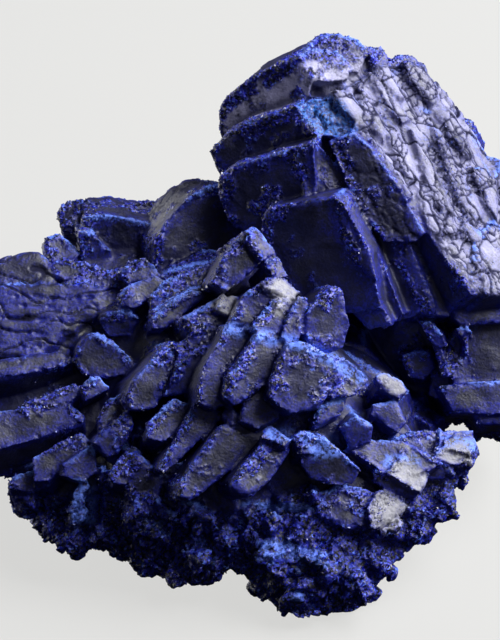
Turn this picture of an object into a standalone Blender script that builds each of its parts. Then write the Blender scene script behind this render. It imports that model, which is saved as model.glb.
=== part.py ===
"""Azurite specimen: thick tabular blades that grew together into one cluster on a broken base.

The display side is described as a mineral dealer would hold it: a point is (across, down, out)
in millimetres, where across and down run over the display side from its upper left corner, and
out stands off it, towards the viewer. The display side leans back from the flat base.
Every crystal overlaps its neighbours, so all of them are joined in one solid.
"""

import math
import random

import bmesh
import bpy
from mathutils import Matrix, Vector

# ---------------------------------------------------------------- driving dimensions, millimetres
MM = 0.001                      # one millimetre in Blender's metres
VIEW_TILT = math.radians(35.0)  # the line of sight comes down onto the display side at this angle
DISPLAY_MIDDLE = 25.0           # across, the middle of the display side
DISPLAY_FOOT = 64.0             # down, the lower end of the display side's scale
BASE_CUT = 4.8                  # height of the flat broken base over the scale's lower end
DARK_LEAN = (0.30, -0.30)       # the upper plates turn their broad faces down and to the left
SLOPE_LEAN = (-0.60, 0.55)      # their ends make one slope that faces up and to the right
SLOPE_POINT = (35.2, 13.0, -0.6)  # a point of that slope
BLADE_LEAN = (-0.33, 0.08)      # the middle blades turn a little to the right
TOP_LEAN = (-0.08, 0.58)        # the left plates lie nearly level
LEVEL_BACK = (0.05, 0.58, -0.81)  # and their bodies hang down and back under their tops
STRAIGHT_BACK = (0.0, 0.0, -1.0)
MERGE = 0.000004                # points closer than this, in metres, are one corner
FLAT = math.radians(0.2)        # faces turned less than this from each other are one face

ACROSS = Vector((1.0, 0.0, 0.0))
DOWN = Vector((0.0, -math.sin(VIEW_TILT), -math.cos(VIEW_TILT)))
OUT = Vector((0.0, -math.cos(VIEW_TILT), math.sin(VIEW_TILT)))

# ---------------------------------------------------------------- the crystals of the display side
# Each row: outline of the flat face as (across, down) corners, how far its middle stands out,
# how it leans (mm out per mm across, mm out per mm down), and how deep its body is.
UPPER_PLATES = (
    # the roof plate, and the plates under it, each one nearer to the viewer
    ([(21.8, 12.6), (21.9, 10.4), (22.5, 9.6), (25.2, 7.4), (28.5, 5.8), (30.0, 5.4), (31.2, 8.0),
      (30.5, 11.0), (28.0, 14.0), (22.5, 14.5)], -5.4, DARK_LEAN, 7.0),
    ([(20.9, 15.0), (22.4, 13.4), (24.5, 12.2), (28.5, 10.8), (29.7, 10.5), (31.2, 13.2),
      (30.8, 16.0), (26.2, 18.2), (22.2, 17.9)], -3.2, DARK_LEAN, 10.0),
    ([(21.8, 17.9), (23.5, 16.5), (25.5, 16.0), (28.0, 15.5), (30.0, 14.8), (31.3, 14.3),
      (31.6, 18.0), (31.2, 22.5), (26.5, 24.5), (23.2, 22.6), (22.0, 20.2)], -1.0, DARK_LEAN, 10.0),
    ([(29.8, 15.0), (31.4, 14.2), (32.2, 14.7), (34.0, 16.8), (35.2, 19.0), (37.0, 21.8),
      (36.0, 25.0), (32.0, 24.0), (30.5, 20.0)], -0.3, (-0.22, 0.0), 9.0),
    ([(26.1, 21.9), (26.8, 20.9), (29.5, 20.3), (33.5, 19.8), (34.3, 20.5), (35.8, 23.2),
      (37.0, 25.6), (38.1, 31.0), (34.5, 31.4), (29.8, 29.5), (27.6, 26.5), (26.2, 23.8)],
     1.5, DARK_LEAN, 8.0),
    ([(33.4, 20.2), (34.3, 20.5), (36.8, 24.8), (37.6, 28.1), (36.0, 27.0), (34.4, 24.0)],
     2.9, (0.2, -0.2), 3.0),
    # thin plates that stand on edge under the slope
    ([(34.5, 24.5), (36.6, 27.6), (37.8, 29.8), (38.5, 31.1), (39.2, 32.6), (36.8, 33.0),
      (34.0, 30.0)], 0.9, (0.3, -0.2), 8.0),
    ([(35.4, 22.0), (36.6, 22.6), (37.8, 25.0), (38.6, 27.0), (39.8, 30.0), (40.4, 31.5),
      (38.4, 33.0), (36.0, 29.0)], -0.4, (0.3, -0.2), 8.0),
    ([(37.4, 22.6), (39.5, 24.0), (40.4, 26.5), (41.7, 30.0), (42.1, 31.5), (39.6, 32.2),
      (37.6, 27.0)], -1.6, (0.3, -0.2), 8.0),
    ([(40.0, 24.2), (40.9, 24.0), (42.2, 27.6), (43.4, 30.0), (43.8, 31.4), (42.4, 31.5),
      (41.3, 29.0), (40.1, 26.4)], -1.2, (0.1, -0.1), 7.0),
    ([(40.6, 24.1), (41.3, 24.0), (42.4, 26.6), (44.0, 29.0), (45.2, 31.7), (43.0, 31.5),
      (42.2, 29.0)], -1.7, (-0.5, 0.15), 7.0),
    ([(41.3, 24.0), (42.5, 23.8), (43.7, 25.8), (43.6, 27.2), (42.0, 25.6)], -2.3, (-0.4, 0.3), 6.0),
    ([(45.0, 25.0), (45.7, 24.6), (47.0, 25.8), (47.2, 29.0), (46.0, 27.0)], -3.0, (-0.5, 0.4), 6.0),
    ([(43.6, 27.0), (45.4, 26.4), (47.2, 28.2), (47.0, 30.6), (45.0, 31.0), (44.0, 29.2)],
     -3.4, (-0.35, 0.3), 7.0),
    ([(45.3, 30.6), (46.0, 29.7), (47.8, 29.5), (50.0, 30.0), (51.9, 29.8), (52.3, 32.2),
      (46.2, 32.6), (45.5, 31.8)], -3.0, (-0.2, 0.0), 9.0),
    # the big plate with a cobbled face, and the small crust patch over it
    ([(32.9, 14.2), (35.2, 13.0), (37.0, 14.6), (38.5, 16.6), (40.0, 19.0), (42.5, 23.3),
      (41.6, 24.2), (38.5, 24.2), (36.4, 21.6), (34.5, 18.0)], 0.4, (0.03, -0.05), 9.0),
    ([(29.7, 10.4), (31.0, 9.7), (33.0, 9.5), (34.5, 10.3), (35.8, 13.0), (34.5, 13.6),
      (32.0, 13.5), (30.6, 13.0)], -1.5, (-0.15, 0.45), 7.0),
)
SLOPE_PLATES = (
    # what fills the slope up to just under its plates
    ([(33.2, 9.4), (36.4, 7.4), (39.4, 6.8), (43.2, 7.4), (46.8, 11.8), (49.6, 17.2), (51.4, 22.6),
      (51.6, 28.8), (47.0, 29.4), (44.6, 24.4), (41.6, 21.6), (37.6, 15.4)], -0.35, 7.0),
    # long narrow ends of plates that lie on the slope, all running down to the right:
    # outline, how far the middle stands over the slope, and how deep the plate is
    ([(37.2, 13.4), (38.2, 14.4), (39.5, 16.5), (41.6, 19.4), (41.0, 20.0), (39.6, 18.1),
      (37.4, 14.6)], 0.7, 5.0),
    ([(36.9, 6.8), (38.3, 7.0), (39.6, 9.5), (41.4, 11.7), (40.4, 12.2), (38.4, 9.8)], 0.5, 5.0),
    ([(37.6, 6.1), (39.0, 6.1), (40.2, 8.0), (41.0, 9.4), (40.0, 9.8), (38.5, 8.0)], 0.9, 5.0),
    ([(40.5, 5.6), (42.6, 5.8), (44.3, 8.5), (43.7, 10.4), (41.2, 7.8)], 0.8, 6.0),
    ([(41.2, 12.4), (42.5, 13.8), (43.6, 16.4), (44.6, 18.5), (45.6, 21.3), (44.7, 21.4),
      (43.4, 19.6), (42.4, 17.0)], 0.8, 5.0),
    ([(43.9, 21.2), (45.5, 21.3), (46.2, 22.8), (45.7, 23.5), (44.6, 23.3)], 0.5, 6.0),
    ([(46.4, 21.8), (47.5, 22.6), (48.7, 23.9), (47.0, 24.2), (46.3, 23.0)], 0.4, 6.0),
    ([(47.4, 16.3), (49.2, 16.3), (50.2, 18.2), (50.2, 22.0), (49.0, 20.6)], 0.7, 6.0),
    ([(44.2, 10.4), (45.6, 10.6), (47.2, 13.2), (47.9, 15.6), (46.4, 15.2), (44.9, 12.8)], 0.6, 5.0),
    ([(43.4, 12.2), (44.8, 13.4), (46.2, 16.6), (47.4, 20.2), (46.2, 20.4), (44.6, 16.8)], 0.4, 5.0),
    ([(33.4, 8.6), (35.2, 8.8), (37.0, 11.2), (37.4, 13.2), (35.6, 12.4), (34.0, 10.4)], 0.3, 5.0),
    ([(35.8, 8.0), (37.2, 9.0), (38.8, 12.4), (38.6, 14.2), (37.0, 12.2)], 0.5, 5.0),
    ([(38.6, 11.2), (40.0, 12.4), (41.6, 15.8), (42.4, 18.8), (40.6, 17.2), (39.0, 14.0)], 0.4, 5.0),
    ([(41.4, 17.6), (42.6, 18.6), (44.2, 22.2), (44.2, 23.8), (42.8, 22.6)], 0.3, 5.0),
    ([(45.4, 16.0), (46.8, 17.6), (48.6, 21.6), (47.8, 22.6), (46.2, 20.0)], 0.3, 5.0),
    ([(42.8, 8.4), (44.2, 8.8), (45.8, 11.8), (45.4, 13.0), (43.8, 11.4)], 0.3, 5.0),
    ([(47.6, 23.2), (49.8, 22.0), (51.6, 23.6), (52.3, 27.0), (51.6, 29.6), (48.6, 29.4),
      (47.4, 26.4)], 0.2, 8.0),
)
SKYLINE = (
    # the pale face at the top of the slope, and blunt crystals along the skyline behind it
    ([(30.0, 5.2), (31.8, 4.5), (34.0, 4.8), (35.0, 6.0), (35.0, 7.8), (32.5, 8.0), (31.2, 7.8)],
     -4.2, (-0.25, 0.45), 8.0),
    ([(30.0, 4.9), (31.0, 3.7), (32.4, 2.9), (34.5, 2.9), (36.0, 3.6), (37.0, 4.6), (36.0, 7.0),
      (31.4, 6.6)], -6.2, (-0.1, 0.55), 7.0),
    ([(36.8, 4.3), (38.2, 4.1), (39.0, 5.2), (39.4, 6.6), (37.6, 6.8)], -6.6, (-0.3, 0.5), 6.0),
    ([(39.0, 5.7), (40.2, 5.0), (41.6, 5.1), (43.2, 6.2), (43.0, 8.2), (40.0, 7.6)],
     -8.2, (-0.4, 0.5), 6.0),
    ([(44.0, 7.4), (45.4, 8.8), (47.0, 11.2), (46.0, 12.4), (43.8, 9.4)], -8.6, (-0.5, 0.3), 6.0),
    ([(46.8, 11.4), (48.0, 13.2), (49.5, 15.8), (49.6, 17.2), (48.0, 16.2), (46.4, 13.4)],
     -8.2, (-0.5, 0.2), 6.0),
)
RIGHT_BLOCKS = (
    # under the slope: dark blocks in the hollow, the lowest one with a striated side
    ([(42.0, 32.1), (43.2, 32.2), (44.4, 33.5), (44.8, 34.6), (44.0, 34.9), (43.2, 34.4)],
     -2.6, (0.1, -0.1), 6.0),
    ([(43.4, 34.4), (44.3, 34.7), (45.1, 37.8), (44.3, 37.9)], -3.4, (0.2, -0.1), 6.0),
    ([(40.4, 35.6), (42.0, 35.0), (43.5, 35.3), (43.7, 37.0), (42.6, 38.0), (41.0, 37.8)],
     -5.0, (0.0, -0.1), 6.0),
    ([(45.2, 33.4), (48.0, 32.4), (52.1, 32.2), (52.4, 36.0), (52.2, 38.6), (45.6, 38.7),
      (45.0, 36.0)], -4.6, (-0.12, 0.05), 12.0),
    ([(44.0, 38.7), (47.0, 38.2), (52.3, 38.1), (52.3, 41.2), (50.0, 41.6), (45.4, 41.3)],
     -3.6, (-0.1, 0.1), 11.0),
    ([(47.0, 41.0), (51.8, 40.9), (51.6, 42.6), (48.2, 42.5)], -4.2, (0.0, 0.2), 9.0),
    ([(45.4, 32.8), (46.8, 32.6), (47.4, 33.2), (46.2, 33.6)], -2.6, (0.0, 0.3), 4.0),
    ([(46.5, 33.4), (47.1, 33.5), (47.1, 35.8), (46.6, 35.4)], -3.2, (-0.3, 0.0), 4.0),
)
FAR_LEFT_BLOCKS = (
    # behind, on the left: blocks that show over the near ones
    ([(5.2, 21.3), (5.4, 20.2), (6.3, 19.7), (7.5, 19.5), (9.6, 19.9), (12.9, 20.8), (13.0, 23.0),
      (8.5, 23.6), (5.8, 22.9)], -12.6, (0.05, 0.35), 9.0),
    ([(7.9, 21.6), (10.5, 21.3), (13.0, 21.8), (16.0, 22.3), (15.6, 24.4), (15.0, 26.6),
      (11.0, 26.8), (9.0, 25.0), (7.8, 23.4)], -9.0, (0.0, -0.28), 8.0),
    ([(7.5, 22.9), (9.0, 23.2), (10.9, 25.0), (10.8, 26.6), (8.0, 26.0)], -7.7, (-0.1, -0.2), 6.0),
    ([(13.1, 20.4), (13.5, 19.7), (14.6, 19.6), (16.0, 19.9), (16.4, 21.8), (13.8, 22.2)],
     -13.6, (0.0, 0.4), 7.0),
    ([(15.9, 20.1), (17.0, 19.3), (18.5, 19.0), (20.0, 19.1), (20.6, 21.0), (18.0, 22.6),
      (16.0, 22.0)], -12.4, (-0.1, 0.35), 8.0),
    ([(15.3, 24.1), (16.5, 22.2), (18.0, 20.4), (19.2, 19.3), (20.6, 18.5), (22.2, 18.2),
      (23.4, 20.4), (24.8, 23.6), (24.0, 25.4), (20.5, 27.2), (16.8, 28.2), (15.5, 26.6)],
     -5.6, (-0.32, -0.12), 8.0),
)
LEFT_PLATES = (
    # nearly level plates with dark front edges, stepping down and towards the viewer
    ([(3.9, 24.6), (4.1, 23.6), (5.7, 23.1), (7.2, 24.4), (7.7, 25.2), (7.0, 26.2), (4.8, 26.4)],
     -7.6, (-0.1, 0.5), 5.0),
    ([(4.9, 26.4), (6.0, 25.5), (8.0, 26.1), (11.8, 27.0), (12.8, 28.7), (10.3, 28.6), (6.8, 28.4),
      (5.6, 27.6)], -4.2, (-0.08, 0.5), 4.2),
    ([(-1.0, 26.0), (0.2, 25.4), (2.2, 24.9), (3.9, 24.9), (5.2, 26.5), (5.5, 28.8), (3.0, 29.3),
      (-1.2, 28.8)], -4.2, (-0.05, 0.45), 6.0),
    ([(-1.6, 36.1), (0.0, 35.8), (4.5, 35.0), (6.0, 34.8), (7.0, 35.6), (7.3, 36.3), (4.7, 36.7),
      (2.5, 37.4), (-1.6, 37.8)], 1.0, TOP_LEAN, 4.0),
    ([(2.0, 40.6), (3.3, 39.8), (6.0, 39.0), (7.6, 38.2), (8.2, 39.2), (7.2, 40.1), (5.5, 40.6)],
     2.6, (-0.05, 0.4), 4.0),
    ([(-1.8, 41.3), (0.0, 41.0), (4.5, 41.0), (6.8, 40.1), (8.6, 41.5), (8.4, 42.2), (5.0, 43.3),
      (2.8, 44.1), (-1.5, 45.2)], 3.6, (-0.1, 0.35), 5.0),
    ([(3.4, 45.6), (6.0, 45.0), (8.2, 43.0), (9.2, 44.1), (8.0, 45.1), (6.5, 46.3), (5.0, 47.9),
      (3.6, 48.0)], 4.6, (-0.1, 0.2), 5.0),
    ([(0.9, 47.9), (2.0, 47.2), (6.3, 46.2), (5.0, 47.9), (3.3, 49.1), (1.2, 48.7)],
     4.0, (-0.05, 0.2), 5.0),
)
BLADES = (
    # left of the middle
    ([(7.4, 36.2), (7.5, 34.8), (8.5, 33.5), (9.5, 33.2), (11.5, 34.2), (13.5, 36.1), (12.8, 37.3),
      (11.0, 37.9), (8.5, 37.6)], 1.2, (-0.1, 0.05), 6.0),
    ([(8.2, 38.6), (8.8, 37.9), (9.9, 37.6), (11.1, 38.8), (9.7, 39.2), (8.6, 40.1)],
     2.8, (-0.2, 0.3), 5.0),
    ([(6.2, 47.4), (6.5, 46.2), (9.2, 44.4), (9.8, 45.4), (9.8, 47.1), (8.5, 48.1)],
     5.2, (-0.2, 0.1), 6.0),
    ([(6.9, 51.2), (7.4, 49.0), (8.8, 47.7), (9.7, 49.2), (8.6, 51.8), (7.4, 52.6)],
     4.6, (-0.2, 0.1), 6.0),
    ([(11.8, 27.2), (12.8, 26.2), (14.5, 25.7), (16.6, 27.8), (12.8, 28.4)], -3.0, (-0.1, 0.3), 5.0),
    ([(11.8, 29.6), (12.8, 28.4), (15.5, 27.5), (16.6, 28.1), (15.0, 29.8), (13.5, 30.9),
      (12.1, 30.5)], -0.8, (-0.2, 0.4), 5.0),
    ([(15.0, 29.6), (16.5, 28.0), (20.8, 26.2), (21.2, 28.5), (18.0, 29.6), (15.2, 31.0)],
     -0.2, (-0.2, 0.3), 5.0),
    ([(15.1, 30.9), (19.0, 28.8), (21.2, 28.3), (20.4, 29.8), (17.0, 31.0), (15.3, 31.9)],
     0.7, (-0.2, 0.3), 5.0),
    ([(15.2, 31.9), (17.0, 30.0), (19.0, 29.0), (20.2, 29.1), (20.4, 29.8), (18.0, 31.4),
      (16.5, 32.9), (15.4, 32.9)], 1.9, (-0.25, 0.2), 5.0),
    ([(9.6, 31.9), (11.0, 31.2), (12.8, 31.0), (14.0, 31.9), (13.0, 33.6), (10.8, 33.7)],
     -0.6, (0.0, -0.2), 6.0),
    ([(12.8, 39.6), (13.4, 38.0), (15.0, 36.5), (16.0, 35.0), (16.8, 34.3), (17.6, 34.2),
      (18.4, 34.8), (18.0, 36.1), (16.5, 39.5), (15.5, 40.9), (13.2, 40.9)], 5.2, BLADE_LEAN, 8.0),
    ([(9.9, 41.7), (10.8, 39.8), (11.8, 39.6), (13.4, 40.8), (11.5, 41.7), (10.2, 43.4)],
     4.2, (-0.1, 0.4), 7.0),
    ([(10.2, 43.4), (13.0, 41.0), (13.6, 42.5), (12.0, 45.3), (10.8, 45.6), (9.5, 44.1)],
     5.6, (-0.25, 0.0), 7.0),
    ([(17.4, 34.6), (19.5, 33.2), (22.0, 32.4), (22.7, 33.4), (20.6, 35.3), (18.0, 36.2)],
     4.7, (0.0, 0.2), 7.0),
    ([(16.4, 39.7), (18.0, 36.0), (20.5, 34.6), (21.5, 35.0), (19.2, 39.2)], 5.7, (-0.1, -0.1), 7.0),
    ([(14.8, 43.6), (15.0, 42.0), (16.0, 41.0), (17.5, 39.7), (19.9, 40.5), (18.5, 42.1),
      (16.5, 44.1)], 6.9, (-0.2, 0.3), 7.0),
    # the middle row, behind the ridge, with blunt ends that catch the light
    ([(18.2, 31.9), (19.5, 32.0), (21.0, 30.5), (22.2, 29.5), (22.1, 31.0), (23.1, 31.9),
      (20.5, 33.6), (19.1, 33.6)], 4.2, (-0.25, 0.2), 6.0),
    ([(21.8, 30.8), (22.2, 29.4), (23.9, 29.6), (23.3, 31.9)], 4.0, (-0.75, 0.55), 5.0),
    ([(21.1, 28.4), (22.2, 26.0), (23.5, 24.2), (24.6, 23.2), (25.4, 24.6), (26.2, 26.2),
      (24.5, 27.1), (23.7, 28.6), (22.7, 29.1)], 4.4, (-0.2, 0.1), 7.0),
    ([(24.4, 23.3), (25.5, 22.7), (26.1, 23.2), (27.7, 25.3), (26.2, 26.2), (25.2, 24.8)],
     4.3, (-0.6, 0.4), 6.0),
    ([(26.4, 26.4), (27.8, 25.6), (29.0, 27.6), (27.4, 28.0)], 4.2, (-0.4, 0.4), 5.0),
    ([(23.1, 32.1), (24.3, 29.5), (26.2, 28.3), (27.1, 29.0), (28.9, 29.8), (26.2, 31.2),
      (25.0, 32.8), (23.9, 32.6)], 6.6, (-0.22, 0.12), 7.0),
    ([(26.1, 28.4), (27.0, 27.7), (28.6, 27.8), (30.1, 29.2), (29.0, 29.9), (27.0, 29.3)],
     6.1, (-0.55, 0.5), 6.0),
    ([(25.1, 32.9), (26.2, 31.2), (27.7, 29.8), (29.1, 30.1), (28.9, 31.3), (27.5, 33.5),
      (26.1, 33.4)], 7.4, (-0.3, 0.2), 6.0),
    ([(28.0, 33.8), (28.4, 32.2), (29.8, 29.6), (30.8, 29.9), (30.3, 32.5), (29.8, 34.2)],
     7.3, (-0.35, 0.15), 7.0),
    ([(30.1, 33.2), (30.7, 30.8), (32.0, 29.6), (33.2, 28.6), (34.2, 29.1), (34.9, 32.5),
      (34.2, 34.8), (33.0, 35.3), (30.9, 34.4)], 6.5, (-0.28, 0.02), 9.0),
    # the ridge row: the largest blades, shingled from left to right
    ([(22.1, 33.7), (22.9, 32.3), (24.5, 33.0), (24.8, 34.4), (23.4, 37.4), (22.7, 40.2),
      (21.5, 40.9), (20.0, 40.2), (19.9, 38.5), (20.4, 36.6)], 8.0, BLADE_LEAN, 8.0),
    ([(22.5, 39.6), (22.9, 37.4), (24.4, 35.4), (25.8, 33.2), (27.2, 33.8), (28.6, 34.2),
      (27.9, 35.8), (26.2, 38.6), (24.2, 40.1), (23.4, 40.4)], 8.9, BLADE_LEAN, 8.0),
    ([(26.9, 39.5), (27.1, 38.0), (28.0, 35.6), (28.7, 34.3), (29.8, 34.0), (31.0, 34.4),
      (32.6, 35.3), (33.6, 36.2), (33.9, 37.8), (32.6, 39.6), (31.8, 40.6), (29.0, 41.2),
      (27.7, 40.4)], 9.9, (-0.24, 0.08), 9.0),
    ([(32.9, 35.5), (34.3, 35.7), (35.4, 36.5), (36.8, 37.8), (36.3, 38.6), (35.5, 39.4),
      (33.0, 39.8)], 8.0, (-0.4, 0.15), 8.0),
    ([(24.2, 40.6), (24.9, 38.9), (25.7, 38.7), (27.6, 40.8), (27.9, 41.6), (25.8, 42.7),
      (24.0, 41.9)], 8.6, (-0.15, 0.25), 7.0),
    ([(22.9, 40.0), (24.2, 41.6), (23.2, 42.4), (22.2, 41.4)], 8.0, (0.0, 0.4), 5.0),
    # below the ridge
    ([(16.0, 46.6), (18.5, 42.4), (19.6, 40.0), (21.0, 40.5), (22.6, 41.3), (20.0, 43.6),
      (17.8, 46.1), (16.5, 47.1)], 7.8, (-0.3, 0.1), 8.0),
    ([(18.0, 49.3), (18.1, 47.8), (19.5, 46.0), (21.0, 43.9), (22.1, 42.4), (24.5, 42.1),
      (26.3, 43.2), (25.5, 44.6), (23.0, 46.6), (20.5, 48.9), (19.0, 49.8)], 9.0, BLADE_LEAN, 9.0),
    ([(23.1, 48.2), (24.4, 46.2), (26.6, 43.8), (29.1, 43.6), (28.9, 45.0), (27.2, 47.6),
      (25.0, 49.4), (24.0, 49.2)], 10.2, BLADE_LEAN, 9.0),
    ([(26.2, 43.5), (26.1, 42.9), (26.9, 42.3), (29.1, 43.6), (28.4, 44.4)], 9.9, (-0.2, 0.7), 6.0),
    ([(29.2, 43.3), (30.5, 42.8), (32.0, 43.8), (31.2, 45.2), (29.9, 45.2)], 9.5, (-0.25, 0.35), 7.0),
    ([(29.9, 46.2), (30.6, 43.2), (32.4, 43.7), (34.5, 45.5), (36.0, 46.8), (35.1, 48.2),
      (33.5, 48.3), (31.0, 47.7)], 8.9, (-0.15, -0.15), 8.0),
    ([(31.2, 41.6), (32.5, 40.0), (34.6, 39.8), (34.0, 41.3), (31.3, 42.6)], 8.4, (-0.2, 0.2), 6.0),
    ([(33.8, 42.6), (35.4, 41.3), (37.2, 42.4), (36.9, 44.1), (35.0, 44.8)], 7.2, (-0.1, -0.1), 7.0),
    ([(37.1, 40.3), (39.5, 39.9), (40.6, 42.0), (39.6, 43.2), (36.9, 41.4)], 5.6, (-0.2, 0.25), 7.0),
    ([(37.4, 37.6), (38.2, 37.1), (40.1, 38.0), (40.6, 39.0), (39.8, 39.8), (37.8, 38.8)],
     5.2, (-0.3, 0.4), 6.0),
    # lower left, over the dark hollow
    ([(11.1, 47.2), (12.0, 45.8), (13.5, 44.4), (14.3, 45.0), (14.1, 46.6), (13.0, 48.2),
      (11.4, 48.2)], 6.9, (-0.1, 0.35), 7.0),
    ([(13.9, 45.0), (15.4, 46.5), (16.4, 47.6), (16.1, 49.2), (15.4, 50.8), (13.3, 50.2),
      (12.9, 48.2)], 6.6, (-0.3, -0.1), 7.0),
    ([(17.8, 50.2), (19.4, 49.8), (20.8, 50.8), (20.2, 52.6), (18.2, 53.0)], 7.0, (-0.2, 0.1), 6.0),
)
LEDGES = (
    # ledges that step down to the right, with blunt pale ends
    ([(34.4, 44.6), (37.0, 43.7), (40.0, 43.9), (44.2, 46.2), (42.0, 47.3), (38.0, 46.9)],
     5.9, (-0.25, 0.4), 6.0),
    ([(38.6, 47.1), (39.2, 46.0), (40.0, 45.7), (41.2, 46.0), (42.8, 47.3), (42.5, 48.2),
      (42.0, 49.2), (40.0, 48.0)], 6.2, (-0.5, 0.45), 6.0),
    ([(37.2, 47.0), (38.8, 46.9), (42.0, 49.0), (41.0, 50.0), (37.2, 48.2)], 6.5, (-0.1, -0.3), 6.0),
    ([(36.6, 50.6), (37.4, 48.9), (38.1, 48.8), (39.5, 49.4), (40.8, 50.3), (40.7, 51.1),
      (39.4, 52.1), (38.1, 53.1), (36.9, 52.4)], 7.1, (-0.45, 0.4), 7.0),
    ([(31.5, 49.2), (34.0, 48.0), (37.2, 49.0), (37.4, 52.0), (34.4, 52.6), (31.6, 51.2)],
     7.4, (-0.1, 0.2), 7.0),
    ([(43.2, 45.6), (43.7, 44.8), (45.2, 44.2), (46.3, 44.0), (47.6, 45.5), (47.2, 46.5),
      (45.0, 46.4)], 3.2, (-0.5, 0.4), 6.0),
    ([(44.1, 44.6), (44.3, 43.8), (45.5, 43.0), (46.9, 43.4), (47.9, 44.5), (47.6, 45.5)],
     2.6, (-0.3, 0.9), 6.0),
    ([(40.4, 44.2), (42.0, 44.9), (44.0, 46.3), (45.6, 47.3), (45.0, 48.1), (42.5, 47.9)],
     4.0, (-0.1, -0.2), 6.0),
    ([(26.3, 51.5), (27.5, 51.0), (28.6, 51.7), (27.0, 53.0)], 8.4, (-0.2, 0.3), 5.0),
    ([(25.6, 55.0), (26.2, 54.1), (28.1, 53.9), (29.0, 54.4), (27.5, 55.4)], 8.2, (0.0, 0.7), 4.0),
    ([(30.1, 55.0), (32.0, 54.4), (33.1, 55.4), (30.8, 56.2)], 8.4, (-0.1, 0.7), 4.0),
    ([(33.2, 54.9), (35.6, 56.0), (37.2, 58.6), (36.0, 59.2), (33.8, 57.2)], 7.2, (-0.3, 0.4), 5.0),
    ([(36.7, 55.1), (37.9, 55.4), (38.7, 56.2), (38.5, 57.0), (37.0, 56.3)], 5.4, (-0.3, 0.3), 5.0),
)
# Thin terraces of the level plates: lower edge (down), right end (across), how far they stand out.
TERRACES = ((29.4, 10.8, -3.0), (30.3, 10.9, -2.7), (31.5, 10.2, -2.2), (32.9, 8.4, -1.7),
            (34.2, 6.4, -1.2), (35.4, 4.8, -0.7))

# Massive azurite behind the crystals: corners as (across, down, out), and how deep it goes.
MASSES = (
    # behind the middle blades
    ([(9.0, 29.0, -5.0), (18.0, 25.0, -7.0), (25.0, 25.0, -3.0), (30.0, 31.0, 0.4),
      (35.0, 36.0, -4.0), (39.5, 40.5, -2.4), (42.6, 45.2, 0.0), (41.0, 49.0, 2.0),
      (36.0, 51.2, 4.4), (27.0, 51.0, 6.0), (18.0, 50.0, 3.4), (10.5, 46.0, 1.8),
      (8.4, 38.0, -1.2), (24.0, 38.0, 6.0), (31.0, 38.5, 6.8), (27.0, 46.0, 7.4),
      (18.0, 41.0, 4.0)], 14.0),
    # behind the upper plates and the slope
    ([(22.7, 10.2, -8.4), (25.4, 7.6, -8.6), (28.6, 5.9, -8.2), (31.2, 4.6, -7.4),
      (34.0, 3.5, -7.6), (39.2, 6.1, -8.0), (42.0, 6.2, -9.4), (44.6, 8.9, -9.6),
      (46.7, 11.8, -9.6), (48.8, 15.6, -9.0), (50.3, 19.5, -7.4), (51.6, 29.0, -6.4),
      (45.0, 30.6, -5.4), (38.0, 31.2, -4.4), (31.0, 29.0, -4.6), (24.4, 22.4, -6.0),
      (22.4, 13.6, -8.2), (35.2, 13.6, -1.0), (41.6, 22.6, -0.6)], 7.0),
    # behind the level plates on the left
    ([(-1.0, 27.6, -6.4), (4.2, 25.6, -9.0), (12.5, 24.0, -12.0), (20.0, 21.6, -13.0),
      (23.5, 24.0, -10.0), (14.0, 30.0, -4.0), (9.0, 36.0, -1.2), (9.4, 44.0, 1.4),
      (6.0, 47.0, 1.6), (0.6, 48.0, 0.4), (-1.5, 44.5, 0.6), (-1.6, 36.6, -2.4)], 6.0),
    # the right block
    ([(44.4, 33.0, -7.0), (51.4, 31.8, -7.4), (51.6, 41.0, -6.4), (47.6, 41.7, -5.8),
      (43.0, 39.6, -6.2)], 7.0),
    # the lower rim, from left to right
    ([(0.6, 46.6, 0.6), (6.5, 46.0, 3.0), (10.6, 46.4, 4.0), (11.6, 55.3, 2.4), (9.4, 54.9, 2.0),
      (7.2, 54.5, 1.6), (4.9, 53.8, 1.0), (3.8, 52.4, 0.6), (3.7, 50.4, 0.4), (1.8, 49.0, 0.0)],
     8.0),
    ([(9.6, 47.0, 4.6), (18.5, 46.0, 6.0), (24.0, 48.0, 7.6), (23.6, 56.6, 5.6), (22.0, 57.5, 5.0),
      (20.4, 58.2, 4.6), (18.6, 58.4, 4.2), (16.8, 57.6, 4.0), (14.4, 56.6, 3.6),
      (11.2, 55.7, 3.0)], 10.0),
    ([(22.6, 50.0, 6.6), (31.0, 50.5, 7.4), (37.0, 52.5, 5.4), (38.0, 57.6, 4.0),
      (36.9, 59.8, 4.2), (35.0, 61.3, 4.6), (33.0, 62.0, 5.0), (30.0, 61.6, 5.4),
      (27.4, 60.2, 5.6), (25.6, 58.8, 5.6), (23.7, 57.0, 5.4), (28.0, 57.0, 8.0),
      (33.0, 58.0, 7.4)], 10.0),
    ([(32.0, 47.0, 5.0), (41.0, 43.0, 2.6), (47.4, 43.0, -0.6), (47.7, 45.0, 0.0),
      (46.6, 46.8, 1.0), (45.0, 49.4, 1.8), (43.0, 52.3, 2.2), (41.0, 54.8, 2.6),
      (38.6, 57.4, 3.0), (34.0, 54.0, 5.4)], 9.0),
)
MASS_TAPER = 0.78               # how much of a mass's width is left at its back

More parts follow.
